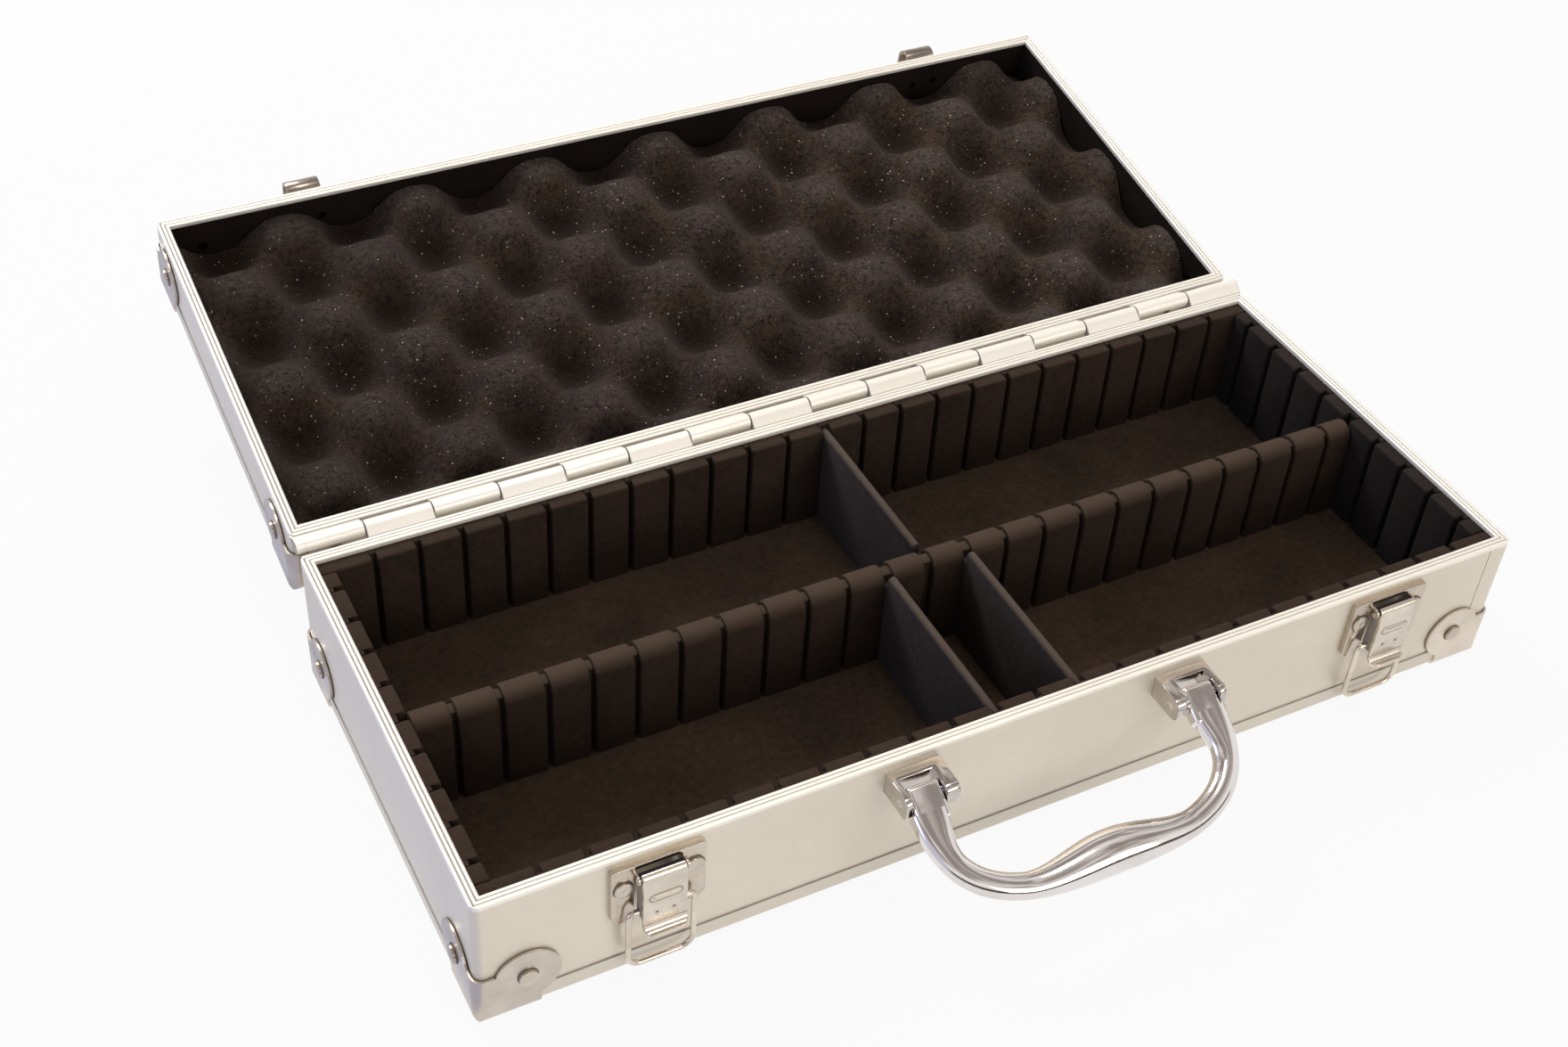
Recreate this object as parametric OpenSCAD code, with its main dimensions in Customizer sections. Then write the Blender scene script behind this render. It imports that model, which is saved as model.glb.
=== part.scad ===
// Slot car carrying case: an aluminium-skinned case with a hinged lid, slotted foam
// liners, removable foam dividers, two draw latches and a swinging handle.
// Drawn with the lid open. Millimetres, +Z up, +X right, +Y towards the hinge.
// The origin is the middle of the footprint, on the surface that the case stands on.

/* [Case] */
// Width of the case, left to right
case_w = 400; // [370:1:430]
// Depth of the case, front to back
case_d = 166; // [160:1:180]
// Height of the base, from the table to its rim
base_h = 56; // [54:0.5:66]
// Height of the lid, from its rim to its top
lid_h = 31; // [30:0.5:36]
// Angle of the open lid, measured from closed
open_angle = 170; // [150:1:174]

/* [Shell] */
// Thickness of the wrapped aluminium sheet
skin_t = 1; // [0.8:0.1:1.2]
// Width of the rim, which covers the sheet and the fibreboard core
rim_w = 4.4; // [4.2:0.1:5]
// Height of the rim's beaded head
rim_head = 2; // [1.8:0.1:2.4]
// Outer radius of the upright corners of the sheet
corner_r = 3; // [2.8:0.1:4]
// Height of the edge rail round the bottom, and round the lid's top
edge_h = 7.5; // [6:0.5:9]
// Thickness of the base's bottom panel
base_panel_t = 4; // [3:0.5:5]
// Thickness of the lid's top panel
lid_panel_t = 3; // [2:0.5:4]
// Distance of the sheet's seam from the right-hand corner
seam_from_corner = 9.5; // [8:0.5:14]

/* [Corner caps] */
// Thickness of the pressed steel corner caps
cap_t = 0.8; // [0.6:0.1:1]
// Distance of each lobe's rivet from the two nearest faces
lobe_c = 16.3; // [15:0.1:16.5]
// Radius of a lobe
lobe_r = 11.2; // [10:0.1:12]

/* [Hinge] */
// Gap between the outer faces of base and lid when the lid lies open
hinge_gap = 10; // [9:0.5:12]
// Number of knuckles across the case
knuckle_count = 16; // [12:2:20]
// Radius of a knuckle
knuckle_r = 2.7; // [2.4:0.1:3]
// Diameter of the hinge pin
hinge_pin_d = 2.2; // [2:0.1:2.6]

/* [Foam tray] */
// Thickness of the liners and of the floor mat
foam_t = 5.6; // [5:0.1:6]
// Spacing of the divider slots
slot_pitch = 16.1; // [15.8:0.1:16.2]
// Number of slots along the front and back liners
slots_along = 23; // [19:2:23]
// Number of slots along the side liners
slots_across = 9; // [5:2:9]
// Width of a slot
slot_w = 3.6; // [3.4:0.1:4]
// Depth of a slot in a liner
slot_depth = 3.7; // [3:0.1:4]
// Thickness of the centre divider
centre_t = 10.5; // [10:0.5:12]

/* [Egg-crate foam] */
// Spacing from a peak to the next hollow, left to right
wave_x = 26.9; // [24:0.1:30]
// Spacing from a peak to the next hollow, front to back
wave_y = 25.6; // [24:0.1:30]
// Depth of the peaks below the lid's rim
peak_depth = 6; // [5:0.5:8]
// Depth of the hollows below the lid's rim
hollow_depth = 21; // [16:0.5:21]

/* [Latches] */
// Distance of each latch from the side of the case
latch_inset = 58; // [50:0.5:80]
// Width of a latch plate
plate_w = 32; // [31:0.5:36]
// Width of a latch lever
lever_w = 15; // [14:0.5:15.5]
// Diameter of the bail's wire
wire_d = 2; // [1.8:0.1:2.2]

/* [Handle] */
// Place of the latches' and the handle's common middle, right of the case's middle
fittings_x = 1.7; // [-5:0.1:5]
// Half the distance between the handle's two pivots
handle_half = 53.3; // [50:0.1:60]
// Distance of the arms' outer edges beyond the pivots' middles
arm_out = 7.5; // [6:0.1:8.4]
// Reach of the handle from its pivots to its outer edge
handle_reach = 45; // [42:0.5:54]
// Angle of the handle from hanging straight down
handle_angle = 62; // [50:1:90]
// Thickness of the grip, in the plane of the handle
grip_w = 15.2; // [13:0.1:17]

/* [Hidden] */
$fn = 48;

// Shared clearances
slip = 0.05;
touch = 0.1;
mate_gap = 0.3;

// Shell, measured from the outer face of a shell half up to its rim
edge_proud = 0.4;
edge_t = edge_proud + skin_t;
edge_lip = 0.8;
edge_leg = 3.2;
cap_round = 2.8;
edge_round = cap_round - cap_t - slip;
shell_z = cap_t + slip;
panel_z = shell_z + edge_lip;
core_r = corner_r - skin_t;
stem_t = 0.8;
stem_h = 6.5;
bead_r = 0.72;
inner_w = case_w - 2 * rim_w;
inner_d = case_d - 2 * rim_w;
seam_w = 0.3;
base_floor_z = panel_z + base_panel_t;
lid_floor_z = panel_z + lid_panel_t;
lining_t = 1;

// Corner caps
cap_in = edge_proud + slip;
cap_out = cap_in + cap_t;
cap_reach = 34;
band_w = 5.8;
band_h = 20.5;
field = 17;
rivet_d = 3;
rivet_head_d = 6.4;
rivet_head_h = 1;

// Hinge, with its axis in the plane of the closed rims
hinge_y = case_d / 2 + hinge_gap / 2;
hinge_z = base_h;
knuckle_step = case_w / knuckle_count;
knuckle_gap = 0.4;
web_drop = 0.8;

// Foam tray
mat_top = base_floor_z + foam_t;
liner_top = base_h - 2;
divider_t = slot_w - 2 * touch;
divider_top = base_h - 3.4;
crown_top = base_h - 3.2;
crown_r = centre_t / 2;
crown_z = crown_top - crown_r;
face_slot = 3.2;
crown_slot = 0.9;
slot_shift = 1.2;
tray_w = inner_w - 2 * foam_t;
tray_d = inner_d - 2 * foam_t;

// Egg-crate foam
foam_cells_x = 46;
foam_cells_y = 22;
foam_margin = 0.5;
first_peak_x = -178.6;
first_peak_y = 26.5;
foam_skew = 0.022;

// Latches: heights from the base's rim down, and distances out from the wall
latch_x = case_w / 2 - latch_inset;
plate_top = base_h - 3.9;
plate_bottom = plate_top - 25.4;
plate_t = 2.2;
plate_sheet = 0.9;
leg_w = 7.6;
leg_top = plate_top - 10.1;
leg_round = 3;
plate_round = 1.2;
latch_rivet_x = 12;
latch_rivet_z = leg_top + 1.1;
lever_pin_d = 2;
lever_pin_out = 4.4;
lever_pin_z = plate_top - 4;
barrel_r = 2.5;
ear_r = 1.8;
ear_t = 0.8;
ear_gap = 0.3;
sheet_t = 1;
lever_face_out = 7.4;
lever_step_z = lever_pin_z - 4.6;
lip_z = lever_pin_z - 19.8;
lip_r = 3.2;
lip_corner = 3;
strike_reach = 8.8;
hook_r = strike_reach / 2;
bail_out = hook_r;
bail_z = lever_pin_z - 15.6;
bail_len = 25.8;
bail_half = 11.2;
bail_bend = 4.5;
flange_r = 2.3;

// Strikes: heights above the rim of the closed case, from the latched bail's wire
strike_w = 18.4;
strike_t = 1.2;
hook_w = 13.4;
hook_lip = 4.4;
strike_low = bail_z + bail_len - wire_d / 2 - slip - strike_t - base_h;
hook_z = strike_low + hook_r;
strike_rivet_x = 5.2;
strike_rivet_d = 2.5;
strike_head_d = 5;
strike_rivet_z = hook_z + hook_lip + strike_head_d / 2 + 0.8;
strike_top = strike_rivet_z + 4;

// Handle and brackets
bracket_d = 14.5;
bracket_h = 9;
bracket_web = 4;
bracket_z = base_h - 14.3;
bracket_round = 3;
ear_inner = 12.4;
inner_ear = 4.9;
outer_ear = 2.4;
handle_pin_d = 3;
handle_pin_out = 10;
handle_pin_z = bracket_z + bracket_h / 2;
stud_d = 4;
stud_x = 5;
eye_w = ear_inner - 4 * touch;
eye_t = 6;
eye_top = 4;
eye_round = 2;
arm_start = 5.6;
root_w = 12.8;
root_t = 7.8;
root_run = 28;
arm_w = 9;
arm_t = 7.4;
grip_t = 13.5;
grip_half = 34;
arch_power = 3;
corner_push = 0.3;
sweep_steps = 40;
sweep_sides = 16;

// Colours
bare_aluminium = "#d9d5cb";
bright_aluminium = "#e8e4da";
nickel = "#b4aca2";
chrome = "#c9ccd2";
black_foam = "#2d2622";
floor_foam = "#3a3028";
board_black = "#15120f";
panel_grey = "#c8c4ba";

// Flat shapes

// A rectangle about the origin with round corners
module rounded_rect(w, d, r) {
  square([w - 2 * r, d], center = true);
  square([w, d - 2 * r], center = true);
  for (sx = [-1, 1], sy = [-1, 1])
    translate([sx * (w / 2 - r), sy * (d / 2 - r)]) circle(r);
}

// A rectangle from one corner to another, with one radius on all corners
module rounded_box(x0, y0, x1, y1, r) {
  translate([(x0 + x1) / 2, (y0 + y1) / 2]) rounded_rect(x1 - x0, y1 - y0, r);
}

// The quadrant right of x0 and above y0, out to a reach, with its corner rounded
module quadrant(x0, y0, r, reach) {
  translate([x0 + r, y0 + r]) circle(r);
  translate([x0 + r, y0]) square([reach, reach]);
  translate([x0, y0 + r]) square([reach, reach]);
}

// Placing

// Extrudes a side view along X: its x runs to +Y and its y runs up
module along_x(length) {
  rotate([90, 0, 90]) linear_extrude(length, center = true) children();
}

// Extrudes a front view out of the front wall: its x runs to +X and its y runs up
module out_of_wall(from, to) {
  translate([0, -from, 0]) rotate([90, 0, 0]) linear_extrude(to - from) children();
}

// Extrudes a side view of a latch or handle part: its x is the distance out of the wall
module side_view(length) {
  mirror([0, 1, 0]) along_x(length) children();
}

// Sweeps a profile round a rounded rectangle: its x is the distance in from the outside
module ring_sweep(w, d, r) {
  for (turn = [0, 180]) rotate([0, 0, turn]) translate([0, -d / 2, 0]) along_x(w - 2 * r) children();
  for (turn = [90, 270]) rotate([0, 0, turn]) translate([0, -w / 2, 0]) along_x(d - 2 * r) children();
  for (c = [[1, 1, 0], [-1, 1, 90], [-1, -1, 180], [1, -1, 270]])
    translate([c[0] * (w / 2 - r), c[1] * (d / 2 - r), 0]) rotate([0, 0, c[2]])
      rotate_extrude(angle = 90) translate([r, 0]) mirror([1, 0]) children();
}

// Moves a part of a shell half from the front left corner to another corner
module at_corner(sx, sy) {
  mirror([sx > 0 ? 1 : 0, 0, 0]) mirror([0, sy > 0 ? 1 : 0, 0])
    translate([-case_w / 2, -case_d / 2, 0]) children();
}

// Turns a shell half over to stand on the closed base, then opens it
module on_open_lid() {
  translate([0, hinge_y, hinge_z]) rotate([-open_angle, 0, 0]) translate([0, -hinge_y, -hinge_z])
    translate([0, 0, base_h + lid_h]) mirror([0, 0, 1]) children();
}

module at_latch(side) {
  translate([fittings_x + side * latch_x, -case_d / 2, 0]) children();
}

module at_bracket(side) {
  translate([fittings_x + side * handle_half, -case_d / 2, 0]) children();
}

// Cylinder along Y from one distance out of the wall to another, negative inside
module wall_cylinder(d, x, z, from, to) {
  translate([x, 0, z]) out_of_wall(from, to) circle(d = d);
}

// Parts of a shell half. The base is one, and the lid is one turned over.

module edge_profile() {
  difference() {
    union() {
      intersection() {
        translate([edge_round, edge_round]) circle(edge_round);
        square(edge_round + touch);
      }
      translate([edge_round, 0]) square([edge_leg - edge_round, edge_h]);
      translate([0, edge_round]) square([edge_leg, edge_h - edge_round]);
    }
    translate([edge_t, edge_lip]) square([edge_leg, edge_h]);
  }
}

module shell_edge() {
  difference() {
    translate([0, 0, shell_z])
      ring_sweep(case_w + 2 * edge_proud, case_d + 2 * edge_proud, corner_r + edge_proud) edge_profile();
    cap_bores();
  }
}

module shell_panel(thickness) {
  difference() {
    translate([0, 0, panel_z]) linear_extrude(thickness)
      rounded_rect(case_w - 2 * skin_t - touch, case_d - 2 * skin_t - touch, core_r);
    cap_bores();
  }
}

module shell_core(floor_z, height) {
  rebate = stem_t + touch;
  difference() {
    translate([0, 0, floor_z]) linear_extrude(height - rim_head - floor_z) difference() {
      rounded_rect(case_w - 2 * skin_t, case_d - 2 * skin_t, core_r);
      square([inner_w, inner_d], center = true);
    }
    translate([0, 0, height - rim_head - stem_h - touch]) linear_extrude(stem_h + 1) difference() {
      square([case_w, case_d], center = true);
      square([case_w - 2 * (skin_t + rebate), case_d - 2 * (skin_t + rebate)], center = true);
    }
    cap_bores();
  }
}

module shell_skin(height) {
  difference() {
    translate([0, 0, shell_z + edge_h]) linear_extrude(height - rim_head - shell_z - edge_h) difference() {
      rounded_rect(case_w, case_d, corner_r);
      rounded_rect(case_w - 2 * skin_t, case_d - 2 * skin_t, core_r);
    }
    translate([case_w / 2 - seam_from_corner, -case_d / 2, 0])
      cube([seam_w, 3 * skin_t, 3 * height], center = true);
    cap_bores();
  }
}

// The rim's section: x is the distance in from the outer face, and y is up from the rim plane
module rim_profile() {
  bead_y = -mate_gap / 2 - bead_r;
  for (x = [bead_r, rim_w / 2, rim_w - bead_r]) translate([x, bead_y]) circle(bead_r);
  translate([0, -rim_head]) square([rim_w, rim_head + bead_y]);
}

// The stem under the rim's head, which stands in a rebate between the sheet and the core
module stem_profile() {
  translate([skin_t + touch / 2, -rim_head - stem_h]) square([stem_t, stem_h + touch]);
}

// One side of the rim, mitred at both ends. Side 0 is the front, and each next one turns left.
module rim_rail(side, height) {
  length = side % 2 == 0 ? case_w : case_d;
  reach = side % 2 == 0 ? case_d : case_w;
  half = length / 2 - touch / 2;
  intersection() {
    rotate([0, 0, 90 * side]) translate([0, -reach / 2, height]) intersection() {
      along_x(length) rim_profile();
      translate([0, 0, -rim_head - 1]) linear_extrude(rim_head + 2)
        polygon([[-half, 0], [half, 0], [half - rim_w, rim_w], [rim_w - half, rim_w]]);
    }
    linear_extrude(2 * height) rounded_rect(case_w, case_d, corner_r);
  }
  rotate([0, 0, 90 * side]) translate([0, -reach / 2, height])
    along_x(length - 2 * corner_r - touch) stem_profile();
}

// Section of a knuckle and its web, about the hinge axis, with the wall at minus half the gap
module knuckle_profile() {
  wall = -hinge_gap / 2;
  root = [wall, -web_drop];
  span = norm(root);
  tangent = atan2(root[1], root[0]) + 360 - acos(knuckle_r / span);
  circle(knuckle_r);
  polygon([root, knuckle_r * [cos(tangent), sin(tangent)], [0, 0], [0, -knuckle_r],
           [wall + touch, -knuckle_r], [wall + touch, -rim_head + touch],
           [wall - 1, -rim_head + touch], [wall - 1, -web_drop]]);
}

// Every other knuckle, starting from the given one, on a shell half of the given height
module knuckles(first, height, bore_d) {
  for (i = [first : 2 : knuckle_count - 1])
    translate([-case_w / 2 + (i + 0.5) * knuckle_step, hinge_y, height])
      difference() {
        along_x(knuckle_step - knuckle_gap) knuckle_profile();
        rotate([0, 90, 0]) cylinder(d = bore_d, h = knuckle_step, center = true);
      }
}

// One corner of a box, solid out to the cap's reach
module cap_block(out, low, upright_r, round) {
  size = 3 * cap_reach;
  intersection() {
    linear_extrude(size) quadrant(-out, -out, upright_r, cap_reach);
    translate([0, size, 0]) rotate([90, 0, 0]) linear_extrude(2 * size) quadrant(-out, low, round, cap_reach);
    translate([-size, 0, 0]) rotate([90, 0, 90]) linear_extrude(2 * size)
      quadrant(-out, low, round, cap_reach);
  }
}

// Outline of the cap on one face: a lobe, a square field and two narrow bands
module cap_outline() {
  low = -3;
  translate([lobe_c, lobe_c]) circle(lobe_r);
  translate([low, low]) square(field - low);
  translate([low, low]) square([band_w - low, band_h - low]);
  translate([low, low]) square([band_h - low, band_w - low]);
}

module cap() {
  depth = 1.5;
  intersection() {
    difference() {
      cap_block(cap_out, 0, corner_r + cap_out, cap_round);
      cap_block(cap_in, cap_t, corner_r + cap_in, cap_round - cap_t);
    }
    union() {
      translate([0, depth, 0]) rotate([90, 0, 0]) linear_extrude(depth + 3) cap_outline();
      translate([-3, 0, 0]) rotate([90, 0, 90]) linear_extrude(depth + 3) cap_outline();
      translate([0, 0, -1]) linear_extrude(depth + 1) cap_outline();
    }
  }
}

// Puts a part that stands on a face, with its axis along +Z into the wall, on a cap's three lobes
module on_lobes() {
  translate([lobe_c, -cap_out, lobe_c]) rotate([-90, 0, 0]) children();
  translate([-cap_out, lobe_c, lobe_c]) rotate([0, 90, 0]) children();
}

module under_lobe() {
  translate([lobe_c, lobe_c, 0]) children();
}

module cap_bores() {
  for (sx = [-1, 1], sy = [-1, 1]) at_corner(sx, sy) {
    on_lobes() translate([0, 0, -1]) cylinder(d = rivet_d + 2 * touch, h = 8);
    under_lobe() translate([0, 0, -1]) cylinder(d = rivet_d + 2 * touch, h = 9);
  }
}

module shell_cap(sx, sy) {
  difference() {
    at_corner(sx, sy) cap();
    cap_bores();
  }
}

module cap_rivet() {
  cylinder(d = rivet_d, h = cap_out + rim_w);
  translate([0, 0, -rivet_head_h / 2]) cylinder(d = rivet_head_d, h = rivet_head_h / 2);
  translate([0, 0, -rivet_head_h])
    cylinder(d1 = rivet_head_d - 2 * rivet_head_h, d2 = rivet_head_d, h = rivet_head_h / 2);
}

// Twelve rivets: two headed ones and a flush one in each cap
module shell_rivets(panel_t) {
  for (sx = [-1, 1], sy = [-1, 1]) at_corner(sx, sy) {
    on_lobes() cap_rivet();
    under_lobe() cylinder(d = rivet_d, h = panel_z + panel_t);
  }
}

// Base shell

module base_edge() {
  color(bright_aluminium) shell_edge();
}

module base_bottom() {
  color(panel_grey) shell_panel(base_panel_t);
}

module base_core() {
  color(board_black) difference() {
    shell_core(base_floor_z, base_h);
    base_wall_bores();
  }
}

module base_skin() {
  color(bare_aluminium) difference() {
    shell_skin(base_h);
    base_wall_bores();
  }
}

// Bores through the front wall for the latch rivets and the brackets' studs
module base_wall_bores() {
  for (side = [-1, 1]) {
    for (x = [-1, 1]) {
      at_latch(side) wall_cylinder(rivet_d + 2 * touch, x * latch_rivet_x, latch_rivet_z, -8, 1);
      at_bracket(side) wall_cylinder(stud_d + 2 * touch, x * stud_x, handle_pin_z, -8, 1);
    }
  }
}

module base_rim(side) {
  color(bright_aluminium) rim_rail(side, base_h);
}

module base_rim_front() {
  difference() {
    base_rim(0);
    base_wall_bores();
  }
}

module base_rim_back() {
  base_rim(2);
  color(bright_aluminium) knuckles(1, base_h, hinge_pin_d + touch / 2);
}

module base_cap(sx, sy) {
  color(nickel) shell_cap(sx, sy);
}

module base_cap_rivets() {
  color(nickel) shell_rivets(base_panel_t);
}

module hinge_pin() {
  color(nickel) translate([0, hinge_y, hinge_z]) rotate([0, 90, 0])
    cylinder(d = hinge_pin_d, h = case_w - 2, center = true);
}

// Foam tray

// Slots cut into a wall's inner face, which stands at the given distance from the middle
module slots(count, face, z0, z1) {
  for (i = [0 : count - 1])
    translate([(i - (count - 1) / 2) * slot_pitch - slot_w / 2, face, z0])
      cube([slot_w, slot_depth + 1, z1 - z0]);
}

module liner_along(sy) {
  reach = inner_d / 2 - touch / 2;
  color(black_foam) mirror([0, sy > 0 ? 0 : 1, 0]) difference() {
    translate([-inner_w / 2 + touch / 2, reach - foam_t, mat_top])
      cube([inner_w - touch, foam_t, liner_top - mat_top]);
    translate([slot_shift, 0, 0])
      slots(slots_along, reach - foam_t - 1, mat_top - 1, base_h);
  }
}

module liner_across(sx) {
  reach = inner_w / 2 - touch / 2;
  length = tray_d - 2 * touch;
  color(black_foam) rotate([0, 0, sx > 0 ? -90 : 90]) difference() {
    translate([-length / 2, reach - foam_t, mat_top]) cube([length, foam_t, liner_top - mat_top]);
    slots(slots_across, reach - foam_t - 1, mat_top - 1, base_h);
  }
}

module floor_mat() {
  color(floor_foam) translate([0, 0, base_floor_z]) linear_extrude(foam_t)
    square([inner_w - 2 * touch, inner_d - 2 * touch], center = true);
}

// Section of the centre divider, drawn with y up from the mat, set in by two depths
module centre_profile(face_in, crown_in) {
  translate([0, crown_z - mat_top]) intersection() {
    circle(crown_r - crown_in);
    translate([-crown_r, 0]) square([centre_t, crown_r]);
  }
  translate([-crown_r + face_in, 0]) square([centre_t - 2 * face_in, crown_z - mat_top]);
}

module centre_divider() {
  length = tray_w - 4 * touch;
  tongue = length + 2 * (slot_depth - 3 * touch);
  color(black_foam) translate([0, 0, mat_top]) {
    difference() {
      along_x(length) centre_profile(0, 0);
      for (i = [0 : slots_along - 1])
        translate([(i - (slots_along - 1) / 2) * slot_pitch + slot_shift, 0, 0])
          along_x(slot_w) difference() {
            translate([-crown_r - 1, -1]) square([centre_t + 2, base_h]);
            centre_profile(face_slot, crown_slot);
          }
    }
    translate([-tongue / 2, -divider_t / 2, 0]) cube([tongue, divider_t, crown_z - mat_top - crown_r]);
  }
}

// A loose divider in the given slot, behind (1) or in front (-1) of the centre divider
module cross_divider(slot, sy) {
  x = (slot - (slots_along - 1) / 2) * slot_pitch + slot_shift;
  near = crown_r + 3 * touch;
  tip = crown_r - face_slot + 3 * touch;
  far = tray_d / 2 + slot_depth - 3 * touch;
  height = divider_top - mat_top;
  color(black_foam) translate([x, 0, mat_top]) mirror([0, sy > 0 ? 0 : 1, 0]) {
    translate([0, far, 0]) rotate([90, 0, 0]) linear_extrude(far - near) {
      translate([0, height - divider_t / 2]) circle(d = divider_t);
      translate([-divider_t / 2, 0]) square([divider_t, height - divider_t / 2]);
    }
    translate([-divider_t / 2, tip, 0]) cube([divider_t, near - tip + 1, crown_z - mat_top - 2 * touch]);
  }
}

// Latches

// Front view of a latch plate, set in from its edges
module plate_outline(inset) {
  half = plate_w / 2 - inset;
  difference() {
    union() {
      rounded_box(-half, plate_bottom + inset, half, leg_top, leg_round - inset);
      rounded_box(-half, leg_top - leg_w, half, plate_top - inset, plate_round - inset);
    }
    rounded_box(-plate_w / 2 + leg_w - inset, plate_bottom - 2 * leg_w,
                plate_w / 2 - leg_w + inset, leg_top + inset, leg_round);
  }
}

module latch_plate(side) {
  window = lever_w / 2 + ear_gap;
  color(nickel) at_latch(side) difference() {
    union() {
      difference() {
        out_of_wall(0, plate_t) plate_outline(0);
        out_of_wall(-1, plate_t - plate_sheet) plate_outline(plate_sheet);
      }
      for (x = [-1, 1]) translate([x * (window + ear_t / 2), 0, 0]) side_view(ear_t) {
        translate([lever_pin_out, lever_pin_z]) circle(ear_r);
        translate([0, lever_pin_z - ear_r]) square([lever_pin_out, 2 * ear_r]);
      }
    }
    out_of_wall(-1, 2 * plate_t)
      translate([-window, leg_top - 1]) square([2 * window, plate_top - leg_top - 0.6]);
    for (x = [-1, 1])
      wall_cylinder(rivet_d + 2 * touch, x * latch_rivet_x, latch_rivet_z, -1, 2 * plate_t);
    translate([0, -lever_pin_out, lever_pin_z]) rotate([0, 90, 0])
      cylinder(d = lever_pin_d + touch / 2, h = plate_w, center = true);
  }
}

module latch_rivets() {
  color(nickel) for (side = [-1, 1], x = [-1, 1]) at_latch(side) {
    wall_cylinder(rivet_d, x * latch_rivet_x, latch_rivet_z, -rim_w, plate_t);
    wall_cylinder(rivet_head_d, x * latch_rivet_x, latch_rivet_z, plate_t, plate_t + 0.7);
  }
}

module lever_pin(side) {
  color(nickel) at_latch(side) translate([0, -lever_pin_out, lever_pin_z]) rotate([0, 90, 0])
    cylinder(d = lever_pin_d, h = lever_w + 2 * (ear_gap + ear_t) + 0.6, center = true);
}

// Side view of the lever's folded sheet, with its stepped face
module lever_profile() {
  face_in = lever_face_out - sheet_t;
  step = 0.6;
  translate([lever_pin_out, lever_pin_z]) circle(barrel_r);
  polygon([[face_in - 0.4, lever_pin_z], [lever_pin_out + barrel_r, lever_pin_z],
           [lever_face_out, lever_step_z], [face_in - step, lever_step_z]]);
  polygon([[face_in - step, lever_step_z + step], [lever_face_out - step, lever_step_z + step],
           [lever_face_out, lip_z], [face_in, lip_z]]);
}

// Side view of the lever's curled lip
module lip_profile() {
  translate([lever_face_out + lip_r - sheet_t, lip_z]) intersection() {
    difference() {
      circle(lip_r);
      circle(lip_r - sheet_t);
    }
    translate([-lip_r, -lip_r]) square([lip_r + 0.8, lip_r]);
  }
}

// The lip's outline from below, with its two outer corners rounded
module lip_outline() {
  reach = lever_face_out + lip_r;
  translate([0, -reach / 2]) rounded_rect(lever_w, reach, lip_corner);
  translate([-lever_w / 2, -reach / 2]) square([lever_w, reach / 2]);
}

module lever(side) {
  color(nickel) at_latch(side) difference() {
    union() {
      side_view(lever_w) lever_profile();
      intersection() {
        side_view(lever_w) lip_profile();
        translate([0, 0, lip_z - 2 * lip_r]) linear_extrude(3 * lip_r) lip_outline();
      }
      for (x = [-1, 1]) translate([x * (lever_w - sheet_t) / 2, 0, 0]) side_view(sheet_t) {
        translate([bail_out, bail_z]) circle(flange_r);
        polygon([[plate_t + 0.6, lever_pin_z - 1], [lever_face_out - sheet_t, lever_pin_z - 1],
                 [lever_face_out - sheet_t / 2, bail_z - flange_r], [bail_out, bail_z - flange_r],
                 [bail_out - flange_r, bail_z]]);
      }
    }
    translate([0, -lever_pin_out, lever_pin_z]) rotate([0, 90, 0])
      cylinder(d = lever_pin_d + touch, h = plate_w, center = true);
    translate([0, -bail_out, bail_z]) rotate([0, 90, 0])
      cylinder(d = wire_d + 2 * touch, h = plate_w, center = true);
  }
}

// A quarter turn of wire from +X towards +Y
module wire_bend(r) {
  rotate_extrude(angle = 90) translate([r, 0]) circle(d = wire_d);
}

// The bail: a wire loop that hangs from the lever, with its ends turned in through the lever's sides
module bail(side) {
  top_bend = 2;
  foot = bail_len - bail_bend;
  inner = lever_w / 2 - sheet_t - 1;
  color(nickel) at_latch(side) translate([0, -bail_out, bail_z]) {
    rotate([0, 90, 0]) translate([0, 0, -bail_half + bail_bend])
      translate([bail_len, 0, 0]) cylinder(d = wire_d, h = 2 * (bail_half - bail_bend));
    for (x = [0, 1]) mirror([x, 0, 0]) {
      translate([bail_half, 0, -foot]) cylinder(d = wire_d, h = foot - top_bend);
      translate([bail_half - bail_bend, 0, -foot]) rotate([-90, 0, 0]) wire_bend(bail_bend);
      translate([bail_half - top_bend, 0, -top_bend]) rotate([90, 0, 0]) wire_bend(top_bend);
      translate([inner, 0, 0]) rotate([0, 90, 0])
        cylinder(d = wire_d, h = bail_half - top_bend - inner);
    }
  }
}

// Handle

// The right-hand bracket, with its thick ear towards the handle's middle
module bracket() {
  difference() {
    union() {
      translate([(outer_ear - inner_ear) / 2, 0, 0]) side_view(ear_inner + inner_ear + outer_ear)
        rounded_box(-bracket_round, bracket_z, bracket_d, bracket_z + bracket_h, bracket_round);
      for (x = [-1, 1]) wall_cylinder(stud_d, x * stud_x, handle_pin_z, -rim_w, 1);
    }
    translate([-ear_inner / 2, -2 * bracket_d - bracket_web, bracket_z - 1])
      cube([ear_inner, 2 * bracket_d, bracket_h + 2]);
    behind_wall();
    translate([0, -handle_pin_out, handle_pin_z]) rotate([0, 90, 0])
      cylinder(d = handle_pin_d + touch / 2, h = 4 * ear_inner, center = true);
  }
}

// Cuts away what a bracket's outline has behind the wall's face, but for its studs
module behind_wall() {
  difference() {
    translate([-ear_inner, 0, bracket_z - 1]) cube([2 * ear_inner, bracket_round + 1, bracket_h + 2]);
    for (x = [-1, 1]) wall_cylinder(stud_d, x * stud_x, handle_pin_z, -rim_w, 1);
  }
}

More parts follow.
